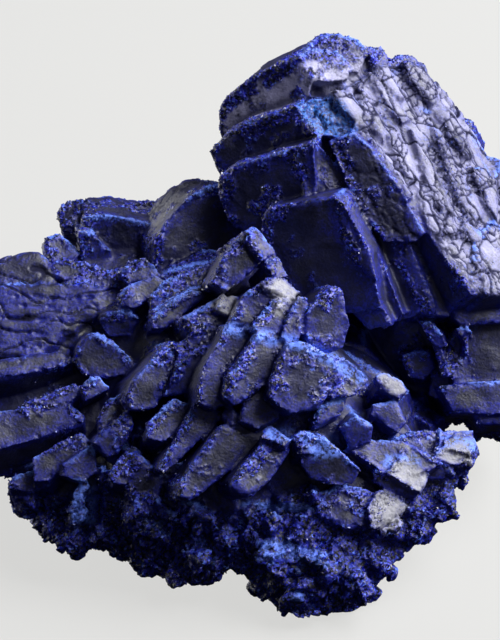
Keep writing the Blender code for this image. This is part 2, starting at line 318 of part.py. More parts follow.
# The hidden sides: the lumps that carry them, as centre and half size in the part's own frame
# (right, back, up from the foot of the scale), before the base is cut.
BACK_LUMPS = (
    ((0.0, 18.5, 12.0), (18.0, 13.0, 12.0)),
    ((12.0, 36.0, 25.0), (13.0, 9.0, 17.0)),
    ((-12.0, 26.0, 14.0), (13.0, 13.0, 11.5)),
    ((-9.0, 33.5, 15.0), (11.0, 9.0, 11.0)),
    ((17.5, 31.0, 16.5), (8.5, 9.5, 12.0)),
    ((4.0, 9.5, 11.0), (15.0, 9.0, 8.0)),
)
BOOK_STEP = 9.0                 # distance between two books of blades
BOOK_BLADES = 3                 # blades in a book
BOOK_PITCH = 3.0                # from one blade of a book to the next
BOOK_LENGTH = (8.0, 12.0)
BOOK_WIDTH = (5.5, 7.5)
BOOK_THICKNESS = (2.8, 3.6)
RIM_MASSES = slice(4, 8)        # the masses of the lower rim
NUBS = 18                       # small crystals along the lower rim
NUB_SIZE = (0.7, 1.5)
CRUST = 40                      # crystals over the front of the lower rim
CRUST_SIZE = (1.4, 2.8)
RIM_INWARD = 0.3                # keeps the crust's crystals off the very edge of the rim
SLOPE_COVER = 4.5               # the books of the back stay this far under the slope
SLOPE_CORNER = (30.0, 32.0)     # the slope lies right of and above this (across, down)
FACE_REACH = (0.35, 0.7)        # how far a tablet's points reach past its middle, of its width
FACE_SHRINK = (0.82, 0.95)      # a tablet's front face, of its back face
FLAT_TURN = (0.8, 0.6)          # how a book's blades lean: off the surface, along the book
BOOK_BEND = 0.9                 # how far a book's row turns from level, in radians
BOOK_SHIFT = (1.2, 0.6)         # how far a blade slides along and off its book
BOOK_SINK = 1.6                 # how deep a book stands in its lump
LOWEST_RING = -10.0             # the lowest and highest rings of books on a lump, in degrees
HIGHEST_RING = 85.0
LUMP_COVER = 0.94               # a book is left out where another lump covers it by this much
SEED = 11


def place(across, down, out):
    """A point of the display side, in millimetres, in the part's own frame."""
    return ACROSS * (across - DISPLAY_MIDDLE) + DOWN * (down - DISPLAY_FOOT) + OUT * out


def turn(direction):
    """A direction given as (across, down, out), in the part's own frame."""
    return ACROSS * direction[0] + DOWN * direction[1] + OUT * direction[2]


def solid(bm, corners):
    """Adds the convex solid with these corners to the mesh, each flat side as one face."""
    before = len(bm.verts)
    verts = [bm.verts.new(corner * MM) for corner in corners]
    hull = bmesh.ops.convex_hull(bm, input=verts)
    inside = hull["geom_interior"] + hull["geom_unused"]
    unused = [vert for vert in verts if vert in inside]
    bmesh.ops.delete(bm, geom=unused, context="VERTS")
    bm.verts.ensure_lookup_table()
    kept = [bm.verts[index] for index in range(before, len(bm.verts))]
    edges = list(dict.fromkeys(edge for vert in kept for edge in vert.link_edges))
    bmesh.ops.dissolve_limit(bm, angle_limit=FLAT, verts=kept, edges=edges)


def blade(bm, outline, out, lean, deep, back=None):
    """A tabular crystal: its flat face, and its body behind that face."""
    middle_across = sum(corner[0] for corner in outline) / len(outline)
    middle_down = sum(corner[1] for corner in outline) / len(outline)
    face = [place(a, d, out + lean[0] * (a - middle_across) + lean[1] * (d - middle_down))
            for a, d in outline]
    behind = turn(back if back else (lean[0], lean[1], -1.0)).normalized() * deep
    solid(bm, face + [corner + behind for corner in face])


def mass(bm, corners, deep):
    """Massive azurite: the given front corners, and the same corners deep behind them."""
    front = [place(*corner) for corner in corners]
    behind = turn(STRAIGHT_BACK) * deep
    middle = sum(front, Vector()) / len(front)
    solid(bm, front + [middle + (corner - middle) * MASS_TAPER + behind for corner in front])


def slope_blade(bm, outline, lift, deep):
    """The end of an upper plate that lies on the slope, standing a little over it."""
    across = sum(corner[0] for corner in outline) / len(outline) - SLOPE_POINT[0]
    down = sum(corner[1] for corner in outline) / len(outline) - SLOPE_POINT[1]
    out = SLOPE_POINT[2] + SLOPE_LEAN[0] * across + SLOPE_LEAN[1] * down + lift
    blade(bm, outline, out, SLOPE_LEAN, deep)


def tablet(bm, centre, axes, size, rng):
    """A free six-sided tabular crystal about its own axes: length, width and thickness."""
    length, width, thick = (value / 2 for value in size)
    point = rng.uniform(*FACE_REACH)
    corners = []
    for side in (-1, 1):
        shrink = 1.0 if side < 0 else rng.uniform(*FACE_SHRINK)
        for x, y in ((1, -point), (1, 1 - point), (point - FACE_REACH[0], 1), (-1, point),
                     (-1, point - 1), (FACE_REACH[0] - point, -1)):
            corners.append(centre + axes[0] * (x * length * shrink)
                           + axes[1] * (y * width * shrink) + axes[2] * (side * thick))
    solid(bm, corners)


def axes_about(normal, rng, tip=0.5):
    """Three crystal axes: the first near the normal, the others turned about it at random."""
    shake = Vector([rng.uniform(-tip, tip) for _ in range(3)])
    first = (normal + shake).normalized()
    second = first.cross(Vector([rng.uniform(-1, 1) for _ in range(3)])).normalized()
    return first, second, first.cross(second)


def terraces(bm):
    """The thin stepped sheets between the level plates on the left."""
    upper = 28.3
    for lower, right, out in TERRACES:
        left = -1.4 + 0.8 * math.sin(5.0 * lower)
        outline = [(left, upper), (right - 2.0, upper - 0.1), (right, upper + 0.6),
                   (right - 0.8, lower + 0.2), (right / 2, lower + 0.5), (left, lower + 0.1)]
        blade(bm, outline, out, (-0.06, 0.5), 3.4, LEVEL_BACK)
        upper = lower - 0.3


def in_lump(point, lump, size):
    centre, half = lump
    return sum(((point[i] - centre[i]) / half[i]) ** 2 for i in range(3)) < size


def near_slope(point):
    """Whether a point of the part's own frame is so near the slope that a book there would show."""
    across, down = point.dot(ACROSS) + DISPLAY_MIDDLE, point.dot(DOWN) + DISPLAY_FOOT
    level = (SLOPE_POINT[2] + SLOPE_LEAN[0] * (across - SLOPE_POINT[0])
             + SLOPE_LEAN[1] * (down - SLOPE_POINT[1]))
    over = across > SLOPE_CORNER[0] and down < SLOPE_CORNER[1]
    return over and point.dot(OUT) > level - SLOPE_COVER


def book(bm, spot, normal, rng):
    """Blades like shingles: side by side, all turned the same way, each a step from the last."""
    level = Vector((0.0, 0.0, 1.0)).cross(normal)
    level = level.normalized() if level.length > 0.2 else Vector((1.0, 0.0, 0.0))
    rising = normal.cross(level)
    bend = rng.uniform(-BOOK_BEND, BOOK_BEND)
    along = (level * math.cos(bend) + rising * math.sin(bend)).normalized()
    flat = (normal * FLAT_TURN[0] + along * FLAT_TURN[1]).normalized()
    length_axis = normal.cross(along).normalized()
    width_axis = flat.cross(length_axis)
    for index in range(BOOK_BLADES):
        step = (index - (BOOK_BLADES - 1) / 2) * BOOK_PITCH * rng.uniform(0.9, 1.1)
        centre = (spot + along * step + length_axis * rng.uniform(-BOOK_SHIFT[0], BOOK_SHIFT[0])
                  + normal * rng.uniform(-BOOK_SHIFT[1], BOOK_SHIFT[1]))
        size = [rng.uniform(*span) for span in (BOOK_LENGTH, BOOK_WIDTH, BOOK_THICKNESS)]
        if not near_slope(centre):
            tablet(bm, centre, (length_axis, width_axis, flat), size, rng)


def hidden_sides(bm, rng):
    """The back, the sides and the top: books of blades all over the lumps that carry them."""
    for lump in BACK_LUMPS[:5]:
        centre, half = lump
        rise = LOWEST_RING
        while rise < HIGHEST_RING:
            ring = max(1, round(2 * math.pi * half[0] * math.cos(math.radians(rise)) / BOOK_STEP))
            for index in range(ring):
                turned = 2 * math.pi * (index + rng.uniform(0.3, 0.7)) / ring
                level = math.radians(rise)
                way = Vector((math.cos(turned) * math.cos(level),
                              math.sin(turned) * math.cos(level), math.sin(level)))
                spot = Vector([centre[i] + way[i] * half[i] for i in range(3)])
                normal = Vector([way[i] / half[i] for i in range(3)]).normalized()
                covered = any(in_lump(spot, other, LUMP_COVER) for other in BACK_LUMPS if other != lump)
                if covered or normal.dot(OUT) > 0.05 or spot.z < BASE_CUT + 1.0:
                    continue
                book(bm, spot - normal * BOOK_SINK, normal, rng)
            rise += math.degrees(BOOK_STEP / half[2])


def rough_rim(bm, rng):
    """Small crystals that roughen the lower rim and the front of the masses behind it."""
    facing = turn((0.0, 0.3, 1.0))
    rims = [corners for corners, _ in MASSES[RIM_MASSES]]
    for _ in range(NUBS):
        across, down, out = rng.choice(rng.choice(rims))
        spot = place(across + rng.uniform(-1.0, 1.0), down + rng.uniform(-1.6, 0.1),
                     out + rng.uniform(-0.8, 0.3))
        size = rng.uniform(*NUB_SIZE)
        tablet(bm, spot, axes_about(facing, rng, 1.0), (size * 1.8, size, size * 0.8), rng)
    for _ in range(CRUST):
        corners = rng.choice(rims)
        parts = [rng.random() + RIM_INWARD for _ in range(3)]
        picked = [Vector(corner) for corner in rng.sample(corners, 3)]
        spot = sum((corner * part for corner, part in zip(picked, parts)), Vector()) / sum(parts)
        size = rng.uniform(*CRUST_SIZE)
        tablet(bm, place(*spot) + facing * 0.2, axes_about(facing, rng, 0.7),
               (size * 1.7, size, size * 0.9), rng)


def lumps(bm):
    """The rounded lumps that carry the hidden sides."""
    for centre, half in BACK_LUMPS:
        move = Matrix.Translation(Vector(centre) * MM) @ Matrix.Diagonal((*half, 1.0))
        shape = bmesh.ops.create_icosphere(bm, subdivisions=2, radius=MM)["verts"]
        bmesh.ops.transform(bm, matrix=move, verts=shape)


def new_object(name, bm):
    mesh = bpy.data.meshes.new(name)
    bm.normal_update()
    bm.to_mesh(mesh)
    bm.free()
    obj = bpy.data.objects.new(name, mesh)
    bpy.context.scene.collection.objects.link(obj)
    return obj


def below_base():
    """A block that takes off everything under the broken base."""
    bm = bmesh.new()
    bmesh.ops.create_cube(bm, size=0.2)
    bmesh.ops.translate(bm, vec=(0.0, 0.0, BASE_CUT * MM - 0.1), verts=bm.verts)
    cutter = new_object("below_base", bm)
    cutter.hide_render = True
    cutter.display_type = "WIRE"
    return cutter


def boolean(obj, other, operation):
    step = obj.modifiers.new(operation.lower(), "BOOLEAN")
    step.operation = operation
    step.object = other
    step.solver = "EXACT"
    step.use_self = operation == "UNION"
    return step


def keep_outer_shell(bm):
    """Drops the shells that close off small voids between crystals, so the solid is massive."""
    shells = []
    seen = set()
    for start in bm.faces:
        if start in seen:
            continue
        seen.add(start)
        shell = [start]
        for face in shell:
            for edge in face.edges:
                for other in edge.link_faces:
                    if other not in seen:
                        seen.add(other)
                        shell.append(other)
        shells.append(shell)
    shells.sort(key=len)
    inner = [face for shell in shells[:-1] for face in shell]
    bmesh.ops.delete(bm, geom=inner, context="FACES")
    loose = [vert for vert in bm.verts if not vert.link_faces]
    bmesh.ops.delete(bm, geom=loose, context="VERTS")
    bare = [edge for edge in bm.edges if not edge.link_faces]
    bmesh.ops.delete(bm, geom=bare, context="EDGES")


def azurite():
    """Azurite: a deep blue copper carbonate, dull to glassy on its faces."""
    material = bpy.data.materials.new("azurite")
    material.use_nodes = True
    shader = material.node_tree.nodes["Principled BSDF"]
    shader.inputs["Base Color"].default_value = (0.012, 0.014, 0.16, 1.0)
    shader.inputs["Roughness"].default_value = 0.45
    shader.inputs["Metallic"].default_value = 0.0
    return material


def main():
    for obj in list(bpy.data.objects):
        bpy.data.objects.remove(obj)
    rng = random.Random(SEED)
    core = bmesh.new()
    mass(core, *MASSES[0])
    cluster = new_object("azurite_cluster", core)

    crystals = bmesh.new()
    for corners, deep in MASSES[1:]:
        mass(crystals, corners, deep)
    lumps(crystals)
    for group in (UPPER_PLATES, SKYLINE, RIGHT_BLOCKS, FAR_LEFT_BLOCKS, BLADES, LEDGES):
        for row in group:
            blade(crystals, *row)
    for row in SLOPE_PLATES:
        slope_blade(crystals, *row)
    for row in LEFT_PLATES:
        blade(crystals, *row, LEVEL_BACK)
    terraces(crystals)
    hidden_sides(crystals, rng)
    rough_rim(crystals, rng)
    grown = new_object("crystals", crystals)

    steps = [boolean(cluster, grown, "UNION"), boolean(cluster, below_base(), "DIFFERENCE")]
    view = bpy.context.evaluated_depsgraph_get()
    joined = bpy.data.meshes.new_from_object(cluster.evaluated_get(view))
    for step in steps:
        cluster.modifiers.remove(step)
    for helper in ("crystals", "below_base"):
        bpy.data.objects.remove(bpy.data.objects[helper])

    bm = bmesh.new()
    bm.from_mesh(joined)
    bmesh.ops.remove_doubles(bm, verts=bm.verts, dist=MERGE)
    bmesh.ops.dissolve_degenerate(bm, edges=bm.edges, dist=MERGE)
    keep_outer_shell(bm)
    low = Vector([min(v.co[i] for v in bm.verts) for i in range(3)])
    high = Vector([max(v.co[i] for v in bm.verts) for i in range(3)])
    foot = Vector(((low.x + high.x) / 2, (low.y + high.y) / 2, low.z))
    bmesh.ops.translate(bm, vec=-foot, verts=bm.verts)
    bm.to_mesh(cluster.data)
    bm.free()
    cluster.data.materials.append(azurite())
    print("foot", [round(value / MM, 4) for value in foot], "size",
          [round(value / MM, 2) for value in high - low], "triangles",
          sum(len(face.vertices) - 2 for face in cluster.data.polygons))


main()
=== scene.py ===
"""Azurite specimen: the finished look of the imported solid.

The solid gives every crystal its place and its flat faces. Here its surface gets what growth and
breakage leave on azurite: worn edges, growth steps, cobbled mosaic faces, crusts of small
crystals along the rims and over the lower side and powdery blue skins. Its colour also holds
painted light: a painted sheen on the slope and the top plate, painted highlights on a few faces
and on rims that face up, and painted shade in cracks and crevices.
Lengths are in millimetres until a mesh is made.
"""

import math

import bmesh
import bpy
import numpy as np
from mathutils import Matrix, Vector, bvhtree, kdtree


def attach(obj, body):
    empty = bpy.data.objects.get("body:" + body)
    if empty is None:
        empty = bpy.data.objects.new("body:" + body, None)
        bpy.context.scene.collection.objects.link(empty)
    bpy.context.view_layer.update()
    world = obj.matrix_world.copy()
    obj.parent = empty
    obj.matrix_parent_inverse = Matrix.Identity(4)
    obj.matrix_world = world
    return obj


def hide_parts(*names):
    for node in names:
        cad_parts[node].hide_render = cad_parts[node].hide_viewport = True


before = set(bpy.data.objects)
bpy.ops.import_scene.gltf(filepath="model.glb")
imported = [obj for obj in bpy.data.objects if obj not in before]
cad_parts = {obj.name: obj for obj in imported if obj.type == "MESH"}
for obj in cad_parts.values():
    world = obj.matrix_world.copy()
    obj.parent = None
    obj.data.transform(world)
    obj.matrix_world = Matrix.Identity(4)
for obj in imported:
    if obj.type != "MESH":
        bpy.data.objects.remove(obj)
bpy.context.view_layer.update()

# ---------------------------------------------------------------- driving dimensions
MM = 0.001                        # one millimetre in metres
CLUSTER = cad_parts["azurite_cluster"]
TILT = math.radians(35.0)         # the display side is looked down on at this angle
FOOT = np.array((0.3866, 20.8916, 4.8))  # from the display scale's foot to the part's own foot
MIDDLE = 25.0                     # across, the middle of the display side
LOW_END = 64.0                    # down, the lower end of the display side's scale

ACROSS = np.array((1.0, 0.0, 0.0))
DOWN = np.array((0.0, -math.sin(TILT), -math.cos(TILT)))
OUT = np.array((0.0, -math.cos(TILT), math.sin(TILT)))

VIEW_MIDDLE = 32.0                # down, the middle of the view
VIEW_HALF = 32.0                  # half the height of the view
VIEW_AWAY = 500.0                 # distance from the middle of the view to the camera

SKIN_GRAIN = 0.17                 # size of the skin's smallest facets
FRONT_TRIANGLES = 330000
HIDDEN_TRIANGLES = 220000
SKIN_PIECES = 3
WELD = 0.002                      # corners of the solid closer than this are one
EDGE_ANGLE = math.radians(24.0)   # sides that meet at more than this make an edge
EDGE_STEP = 0.25                  # distance between the points that stand for an edge
BASE_BAND = 0.3                   # edges below this height belong to the flat base

STEP_HEIGHT = 0.035               # growth steps; real ones are finer, and would not show
SHEET_PITCH = 2.1                 # from one torn sheet of the terraces to the next
CHIP_SIZE = 0.9                   # chips along the bruised edges
SLOPE_PLATE = 1.6                 # plates of the slope, as wide as this
SLOPE_COBBLE = 0.62               # the small blocks that many of them are broken into
DRUSE_CRYSTAL = 1.9               # stout crystals of the lower side
DRUSE_BUD = 0.8                   # and the smaller ones on them
CRUST_GRAIN = 0.42                # grains of the crust in the skin itself
FRONT_CRYSTALS = 10500            # crystals that stand on the display side, in each of two crusts
HIDDEN_CRYSTALS = 12000           # and on the sides that it doesn't show, in one crust
CRYSTAL_SIZES = (0.08, 0.27)      # real ones go down to 0.05
SOFTENING_ROUNDS = 24             # the more rounds, the softer the steps of the solid
FILLING_ROUNDS = 120              # as many fill gaps up to about a millimetre wide

# ---------------------------------------------------------------- places on the display side
# Outlines as (across, down) corners in millimetres, and how far back (out) each feature reaches:
# it starts at the first of the two numbers and is whole from the second on.
DISPLAY_REACH = (-12.0, -7.0)
SLOPE_REACH = (-12.0, -9.0)
PLATE_REACH = (-4.0, -2.5)
TERRACE_REACH = (-9.0, -7.0)
SLOPE = [(32.6, 8.6), (35.4, 7.6), (38.5, 6.0), (43.5, 6.0), (47.5, 10.5), (50.5, 17.0), (52.5, 24.0),
         (52.5, 30.0), (48.0, 29.6), (43.8, 24.6), (41.6, 20.4), (37.0, 14.0), (34.6, 12.4)]
COBBLED_PLATE = [(33.2, 14.4), (36.6, 14.6), (38.4, 16.8), (42.3, 23.4), (41.4, 24.0), (38.6, 24.0),
                 (36.6, 21.6), (34.8, 18.0)]
TEAL_PATCH = [(29.7, 10.3), (31.0, 9.7), (33.0, 9.5), (34.5, 10.3), (35.8, 13.0), (34.5, 13.6),
              (32.0, 13.4), (30.3, 11.6)]
TERRACED = [(-2.0, 25.0), (4.0, 24.4), (6.0, 28.6), (11.5, 28.8), (10.5, 32.5), (7.0, 35.2),
            (3.0, 36.4), (-2.0, 37.0)]
DRUSY = [(2.0, 49.6), (7.0, 49.4), (10.6, 48.6), (12.6, 50.4), (16.0, 51.6), (18.0, 49.8),
         (23.5, 51.6), (26.0, 50.0), (30.0, 48.6), (31.6, 51.6), (37.0, 53.0), (41.0, 50.2),
         (45.4, 47.2), (48.2, 44.0), (52.0, 50.0), (42.0, 66.0), (18.0, 66.0), (2.0, 58.0)]
# faces that get a painted highlight
HIGHLIGHTED_FACES = (
    [(38.7, 47.0), (39.3, 46.0), (40.0, 45.8), (41.2, 46.1), (42.6, 47.3), (42.3, 48.1), (41.9, 49.0),
     (40.0, 47.9)],
    [(36.7, 50.6), (37.5, 49.0), (38.1, 48.9), (39.5, 49.5), (40.7, 50.4), (40.6, 51.0), (39.4, 52.0),
     (38.1, 53.0), (37.0, 52.3)],
    [(43.5, 45.3), (45.0, 44.3), (46.2, 44.1), (47.4, 45.6), (47.0, 46.3), (45.0, 46.1)],
    [(37.6, 37.5), (38.4, 37.2), (40.0, 38.1), (40.4, 39.2), (39.0, 39.4)],
    [(26.0, 28.6), (28.0, 27.7), (30.1, 29.6), (29.2, 30.4), (27.2, 30.0)],
    [(22.0, 29.4), (23.8, 28.4), (23.5, 31.6), (22.4, 31.6), (21.0, 30.6)],
    [(27.2, 30.3), (28.6, 30.3), (28.4, 31.8), (27.4, 31.4)],
)
POWDERED = (
    [(22.4, 32.0), (25.8, 32.8), (29.8, 33.7), (32.5, 34.9), (36.6, 37.5), (36.0, 38.4),
     (32.0, 36.0), (29.6, 34.9), (25.6, 34.1), (22.2, 33.3)],
    [(25.8, 53.8), (28.8, 53.4), (30.0, 54.4), (32.8, 55.0), (32.4, 56.4), (29.6, 55.6),
     (26.0, 55.4)],
    [(26.0, 42.5), (29.2, 42.7), (29.4, 44.0), (27.0, 43.9)],
    [(30.0, 43.4), (33.6, 43.2), (34.6, 45.2), (31.2, 45.6)],
    [(7.0, 47.8), (9.5, 47.8), (9.6, 52.4), (7.2, 52.2)],
    [(38.2, 45.3), (41.5, 45.5), (41.5, 46.4), (38.2, 46.4)],
    [(44.2, 43.5), (47.8, 43.9), (47.8, 45.0), (44.2, 44.7)],
)
# the top plate, which gets a painted sheen as the slope does
SHEENED_PLATES = (
    [(21.4, 13.0), (23.5, 9.6), (27.0, 7.4), (31.0, 6.0), (36.0, 5.0), (38.0, 6.6), (34.0, 9.0),
     (30.0, 9.6), (26.0, 11.4), (22.6, 14.0)],
)


# ---------------------------------------------------------------- patterns in space
def scatter(cell, salt):
    """Evenly spread numbers from 0 to 1, one for each cell of a grid: its three whole numbers are
    multiplied by large odd ones and stirred."""
    mixed = (cell[..., 0] * 374761393 + cell[..., 1] * 668265263 + cell[..., 2] * 1440662683
             + salt * 974634777) & 0xFFFFFFFF
    mixed = ((mixed ^ (mixed >> 13)) * 1274126177) & 0xFFFFFFFF
    mixed = ((mixed ^ (mixed >> 15)) * 2246822519) & 0xFFFFFFFF
    return ((mixed ^ (mixed >> 16)) & 0xFFFFFF) / float(0x1000000)


# the twelve ways from a cube's middle to its edges
SLOPES = np.array([(x, y, z) for x in (-1, 0, 1) for y in (-1, 0, 1) for z in (-1, 0, 1)
                   if abs(x) + abs(y) + abs(z) == 2], float)


def waves(points, size, salt=0):
    """Smooth waves from about -1 to 1, one swell every size millimetres."""
    place = points / size
    cell = np.floor(place).astype(np.int64)
    part = place - cell
    fade = part * part * part * (part * (part * 6 - 15) + 10)
    total = np.zeros(len(points))
    for corner in np.ndindex(2, 2, 2):
        step = np.array(corner)
        slope = SLOPES[(scatter(cell + step, salt) * len(SLOPES)).astype(int)]
        weight = np.prod(np.where(step == 1, fade, 1 - fade), axis=1)
        total += weight * np.sum(slope * (part - step), axis=1)
    return total * 1.4


def rough(points, size, layers, salt=0):
    """Waves with finer waves on them, each layer half the size and half the height."""
    total, height = 0.0, 1.0
    for layer in range(layers):
        total = total + height * waves(points, size / 2 ** layer, salt + layer)
        height /= 2
    return total


def grains(points, size, salt=0):
    """Grains packed side by side: how far a point is from its grain's border, the offset from
    the grain's middle, and three numbers that belong to the grain."""
    place = points / size
    cell = np.floor(place).astype(np.int64)
    part = place - cell
    near = np.full(len(points), 9.0)
    second = np.full(len(points), 9.0)
    offset = np.zeros((len(points), 3))
    own = np.zeros((len(points), 3))
    for corner in np.ndindex(3, 3, 3):
        step = np.array(corner) - 1
        there = cell + step
        spot = np.stack([scatter(there, salt + axis) for axis in range(3)], axis=1)
        away = part - step - (0.15 + 0.7 * spot)
        far = np.sum(away * away, axis=1)
        closer = far < near
        second = np.where(closer, near, np.minimum(second, far))
        near = np.where(closer, far, near)
        offset[closer] = away[closer]
        own[closer] = spot[closer]
    return np.sqrt(second) - np.sqrt(near), offset, own


def ramp(value, low, high):
    """0 below low, 1 above high, smooth between."""
    part = np.clip((value - low) / (high - low), 0, 1)
    return part * part * (3 - 2 * part)


def inside(place, outline, soft):
    """1 within an outline of the display side, 0 outside, over soft millimetres."""
    corners = np.array(outline)
    point = place[:, :2]
    far = np.full(len(point), 1e9)
    within = np.zeros(len(point), bool)
    for start, end in zip(corners, np.roll(corners, -1, axis=0)):
        edge = end - start
        part = np.clip(((point - start) @ edge) / (edge @ edge), 0, 1)
        far = np.minimum(far, np.linalg.norm(point - start - part[:, None] * edge, axis=1))
        crosses = (start[1] > point[:, 1]) != (end[1] > point[:, 1])
        rise = np.where(edge[1] == 0, 1e-9, edge[1])
        within ^= crosses & (point[:, 0] < start[0] + (point[:, 1] - start[1]) * edge[0] / rise)
    return ramp(np.where(within, far, -far), -soft / 2, soft / 2)


def inside_any(place, outlines, soft):
    return np.max([inside(place, outline, soft) for outline in outlines], axis=0)


# ---------------------------------------------------------------- meshes
def on_display(points):
    """Points of the part as (across, down, out) of the display side."""
    before = points + FOOT
    return np.stack([before @ ACROSS + MIDDLE, before @ DOWN + LOW_END, before @ OUT], axis=1)


def points_of(mesh):
    """A mesh's points, in millimetres."""
    flat = np.empty(len(mesh.vertices) * 3, np.float32)
    mesh.vertices.foreach_get("co", flat)
    return flat.reshape(-1, 3).astype(float) / MM


def normals_of(mesh):
    flat = np.empty(len(mesh.vertices) * 3, np.float32)
    mesh.vertex_normals.foreach_get("vector", flat)
    return flat.reshape(-1, 3).astype(float)


def move_points(mesh, points):
    mesh.vertices.foreach_set("co", (points * MM).astype(np.float32).ravel())
    mesh.update()


def new_piece(name, mesh):
    piece = bpy.data.objects.new(name, mesh)
    bpy.context.scene.collection.objects.link(piece)
    return piece


def clean_solid():
    """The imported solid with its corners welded."""
    bm = bmesh.new()
    bm.from_mesh(CLUSTER.data)
    bmesh.ops.remove_doubles(bm, verts=bm.verts, dist=WELD * MM)
    bm.normal_update()
    return bm


def edge_points(bm):
    """Points along every outer edge of the solid, with the way each one faces."""
    spots, facings = [], []
    for edge in bm.edges:
        if len(edge.link_faces) != 2 or edge.calc_face_angle_signed(0.0) < EDGE_ANGLE:
            continue
        start, end = (np.array(vert.co) / MM for vert in edge.verts)
        if start[2] < BASE_BAND and end[2] < BASE_BAND:
            continue
        facing = sum((np.array(face.normal) for face in edge.link_faces), np.zeros(3))
        count = max(1, int(np.linalg.norm(end - start) / EDGE_STEP))
        for part in (np.arange(count) + 0.5) / count:
            spots.append(start + (end - start) * part)
            facings.append(facing / max(np.linalg.norm(facing), 1e-6))
    return np.array(spots), np.array(facings)


def fine_skin(bm):
    """The solid's surface again as an even net of small facets."""
    mesh = bpy.data.meshes.new("skin")
    bm.to_mesh(mesh)
    piece = new_piece("skin", mesh)
    step = piece.modifiers.new("net", "REMESH")
    step.mode = "VOXEL"
    step.voxel_size = SKIN_GRAIN * MM
    view = bpy.context.evaluated_depsgraph_get()
    net = bpy.data.meshes.new_from_object(piece.evaluated_get(view))
    bpy.data.objects.remove(piece)
    return net


# ---------------------------------------------------------------- the azurite's surface
def relaxed(mesh, points, share, rounds):
    """The points drawn towards their neighbours, so that steps soften where share is 1."""
    ends = np.empty(len(mesh.edges) * 2, np.int32)
    mesh.edges.foreach_get("vertices", ends)
    first, second = ends[0::2], ends[1::2]
    count = np.bincount(ends, minlength=len(points))[:, None]
    for _ in range(rounds):
        total = np.stack([np.bincount(first, points[second, axis], len(points))
                          + np.bincount(second, points[first, axis], len(points))
                          for axis in range(3)], axis=1)
        points = points + share[:, None] * (total / count - points)
    return points


def nearest_edges(points, spots, facings):
    """How far each point is from an outer edge, and the way that edge faces."""
    tree = kdtree.KDTree(len(spots))
    for index, spot in enumerate(spots):
        tree.insert(spot, index)
    tree.balance()
    found = [tree.find(point) for point in points]
    far = np.array([each[2] for each in found])
    return far, facings[[each[1] for each in found]]


def along_slope(place, longer):
    """Display places turned and stretched, so that grains come out long down the slope."""
    run = np.array((0.50, 0.866))
    side = np.array((0.866, -0.50))
    return np.stack([place[:, :2] @ run / longer, place[:, :2] @ side, place[:, 2] * 0.6], axis=1)


def along_blades(place):
    """Display places turned and stretched, so that grains lean to the lower left."""
    run = np.array((-0.60, 0.80))
    side = np.array((0.80, 0.60))
    return np.stack([place[:, :2] @ run / 1.9, place[:, :2] @ side, place[:, 2] * 0.8], axis=1)


def blocks(offset, own, tilt, step, number):
    """Flat grains, each tilted its own way and set higher or lower by its own number."""
    return tilt * np.sum((own - 0.5) * offset, axis=1) + step * (own[:, number] - 0.5)


def growth_steps(points, near_edge):
    """Slight swells of the broad faces with growth steps on them, which fade at the edges."""
    swell = 0.03 * rough(points, 4.0, 2, 11)
    steps = rough(points, 5.0, 3, 17) * 4.0
    level = np.floor(steps)
    return swell + STEP_HEIGHT * (level + ramp(steps - level, 0.44, 0.56)) * (1 - near_edge)


def torn_sheets(points, place):
    """Thin sheets that end one over the other, and the cracks under their edges."""
    sheet = (place[:, 1] + 0.10 * place[:, 0] + 2.4 * waves(points, 6.0, 19)
             + 1.0 * waves(points, 2.2, 20)) / SHEET_PITCH
    level = sheet - np.floor(sheet)
    return level, 1 - ramp(np.abs(level - 0.03), 0.02, 0.08)


def slope_plates(bent):
    """Plates long down the slope, many of them broken into small blocks: their heights, the
    seams between them, and a tone for each."""
    joint, offset, own = grains(along_slope(bent, 2.3), SLOPE_PLATE, 30)
    broken = ramp(own[:, 2], 0.42, 0.46)
    block = blocks(offset, own, 0.05, 0.20, 0)
    seam = 1 - ramp(joint, 0.015, 0.08)
    tone = own[:, 1]
    joint, offset, own = grains(along_slope(bent, 1.5), SLOPE_COBBLE, 31)
    tone = np.where(broken > 0.5, own[:, 1], tone)
    block += broken * blocks(offset, own, 0.06, 0.12, 0)
    seam = np.maximum(seam, broken * (1 - ramp(joint, 0.02, 0.17)))
    return block - 0.09 * seam, seam, tone


def druse(bent):
    """Stout crystals side by side that lean as the blades do, with smaller ones on them: their
    heights, and how far a point is from a seam between the smaller ones."""
    joint, offset, own = grains(bent, DRUSE_CRYSTAL, 37)
    stout = blocks(offset, own, 1.5, 0.9, 2)
    deep = 0.25 * (1 - ramp(joint, 0.0, 0.10))
    joint, offset, own = grains(bent, DRUSE_BUD, 41)
    bud = blocks(offset, own, 0.40, 0.26, 2)
    return stout + bud - deep - 0.06 * (1 - ramp(joint, 0.0, 0.16)), joint


def crusted_rim(points, edge_far, edge_way):
    """Bands of crust along the upper left edges of the blades, and loose patches of it."""
    facing = ramp(edge_way @ (-0.62 * ACROSS - 0.70 * DOWN + 0.35 * OUT), -0.05, 0.75)
    width = 0.12 + 1.5 * facing * ramp(waves(points, 6.5, 51), -0.45, 0.45)
    ragged = rough(points, 1.7, 4, 53)
    band = ramp(width * (1 + 0.75 * ragged) - edge_far, -0.2, 0.4)
    patch = ramp(waves(points, 5.5, 57) + 0.55 * ragged, 0.40, 0.62)
    return np.maximum(band, 0.7 * patch)


def fine_crust(points):
    """Heights of the crust: small tilted grains on low lumps."""
    _, offset, own = grains(points, CRUST_GRAIN, 61)
    return blocks(offset, own, 0.24, 0.08, 1) + 0.10 * rough(points, 1.1, 2, 67)


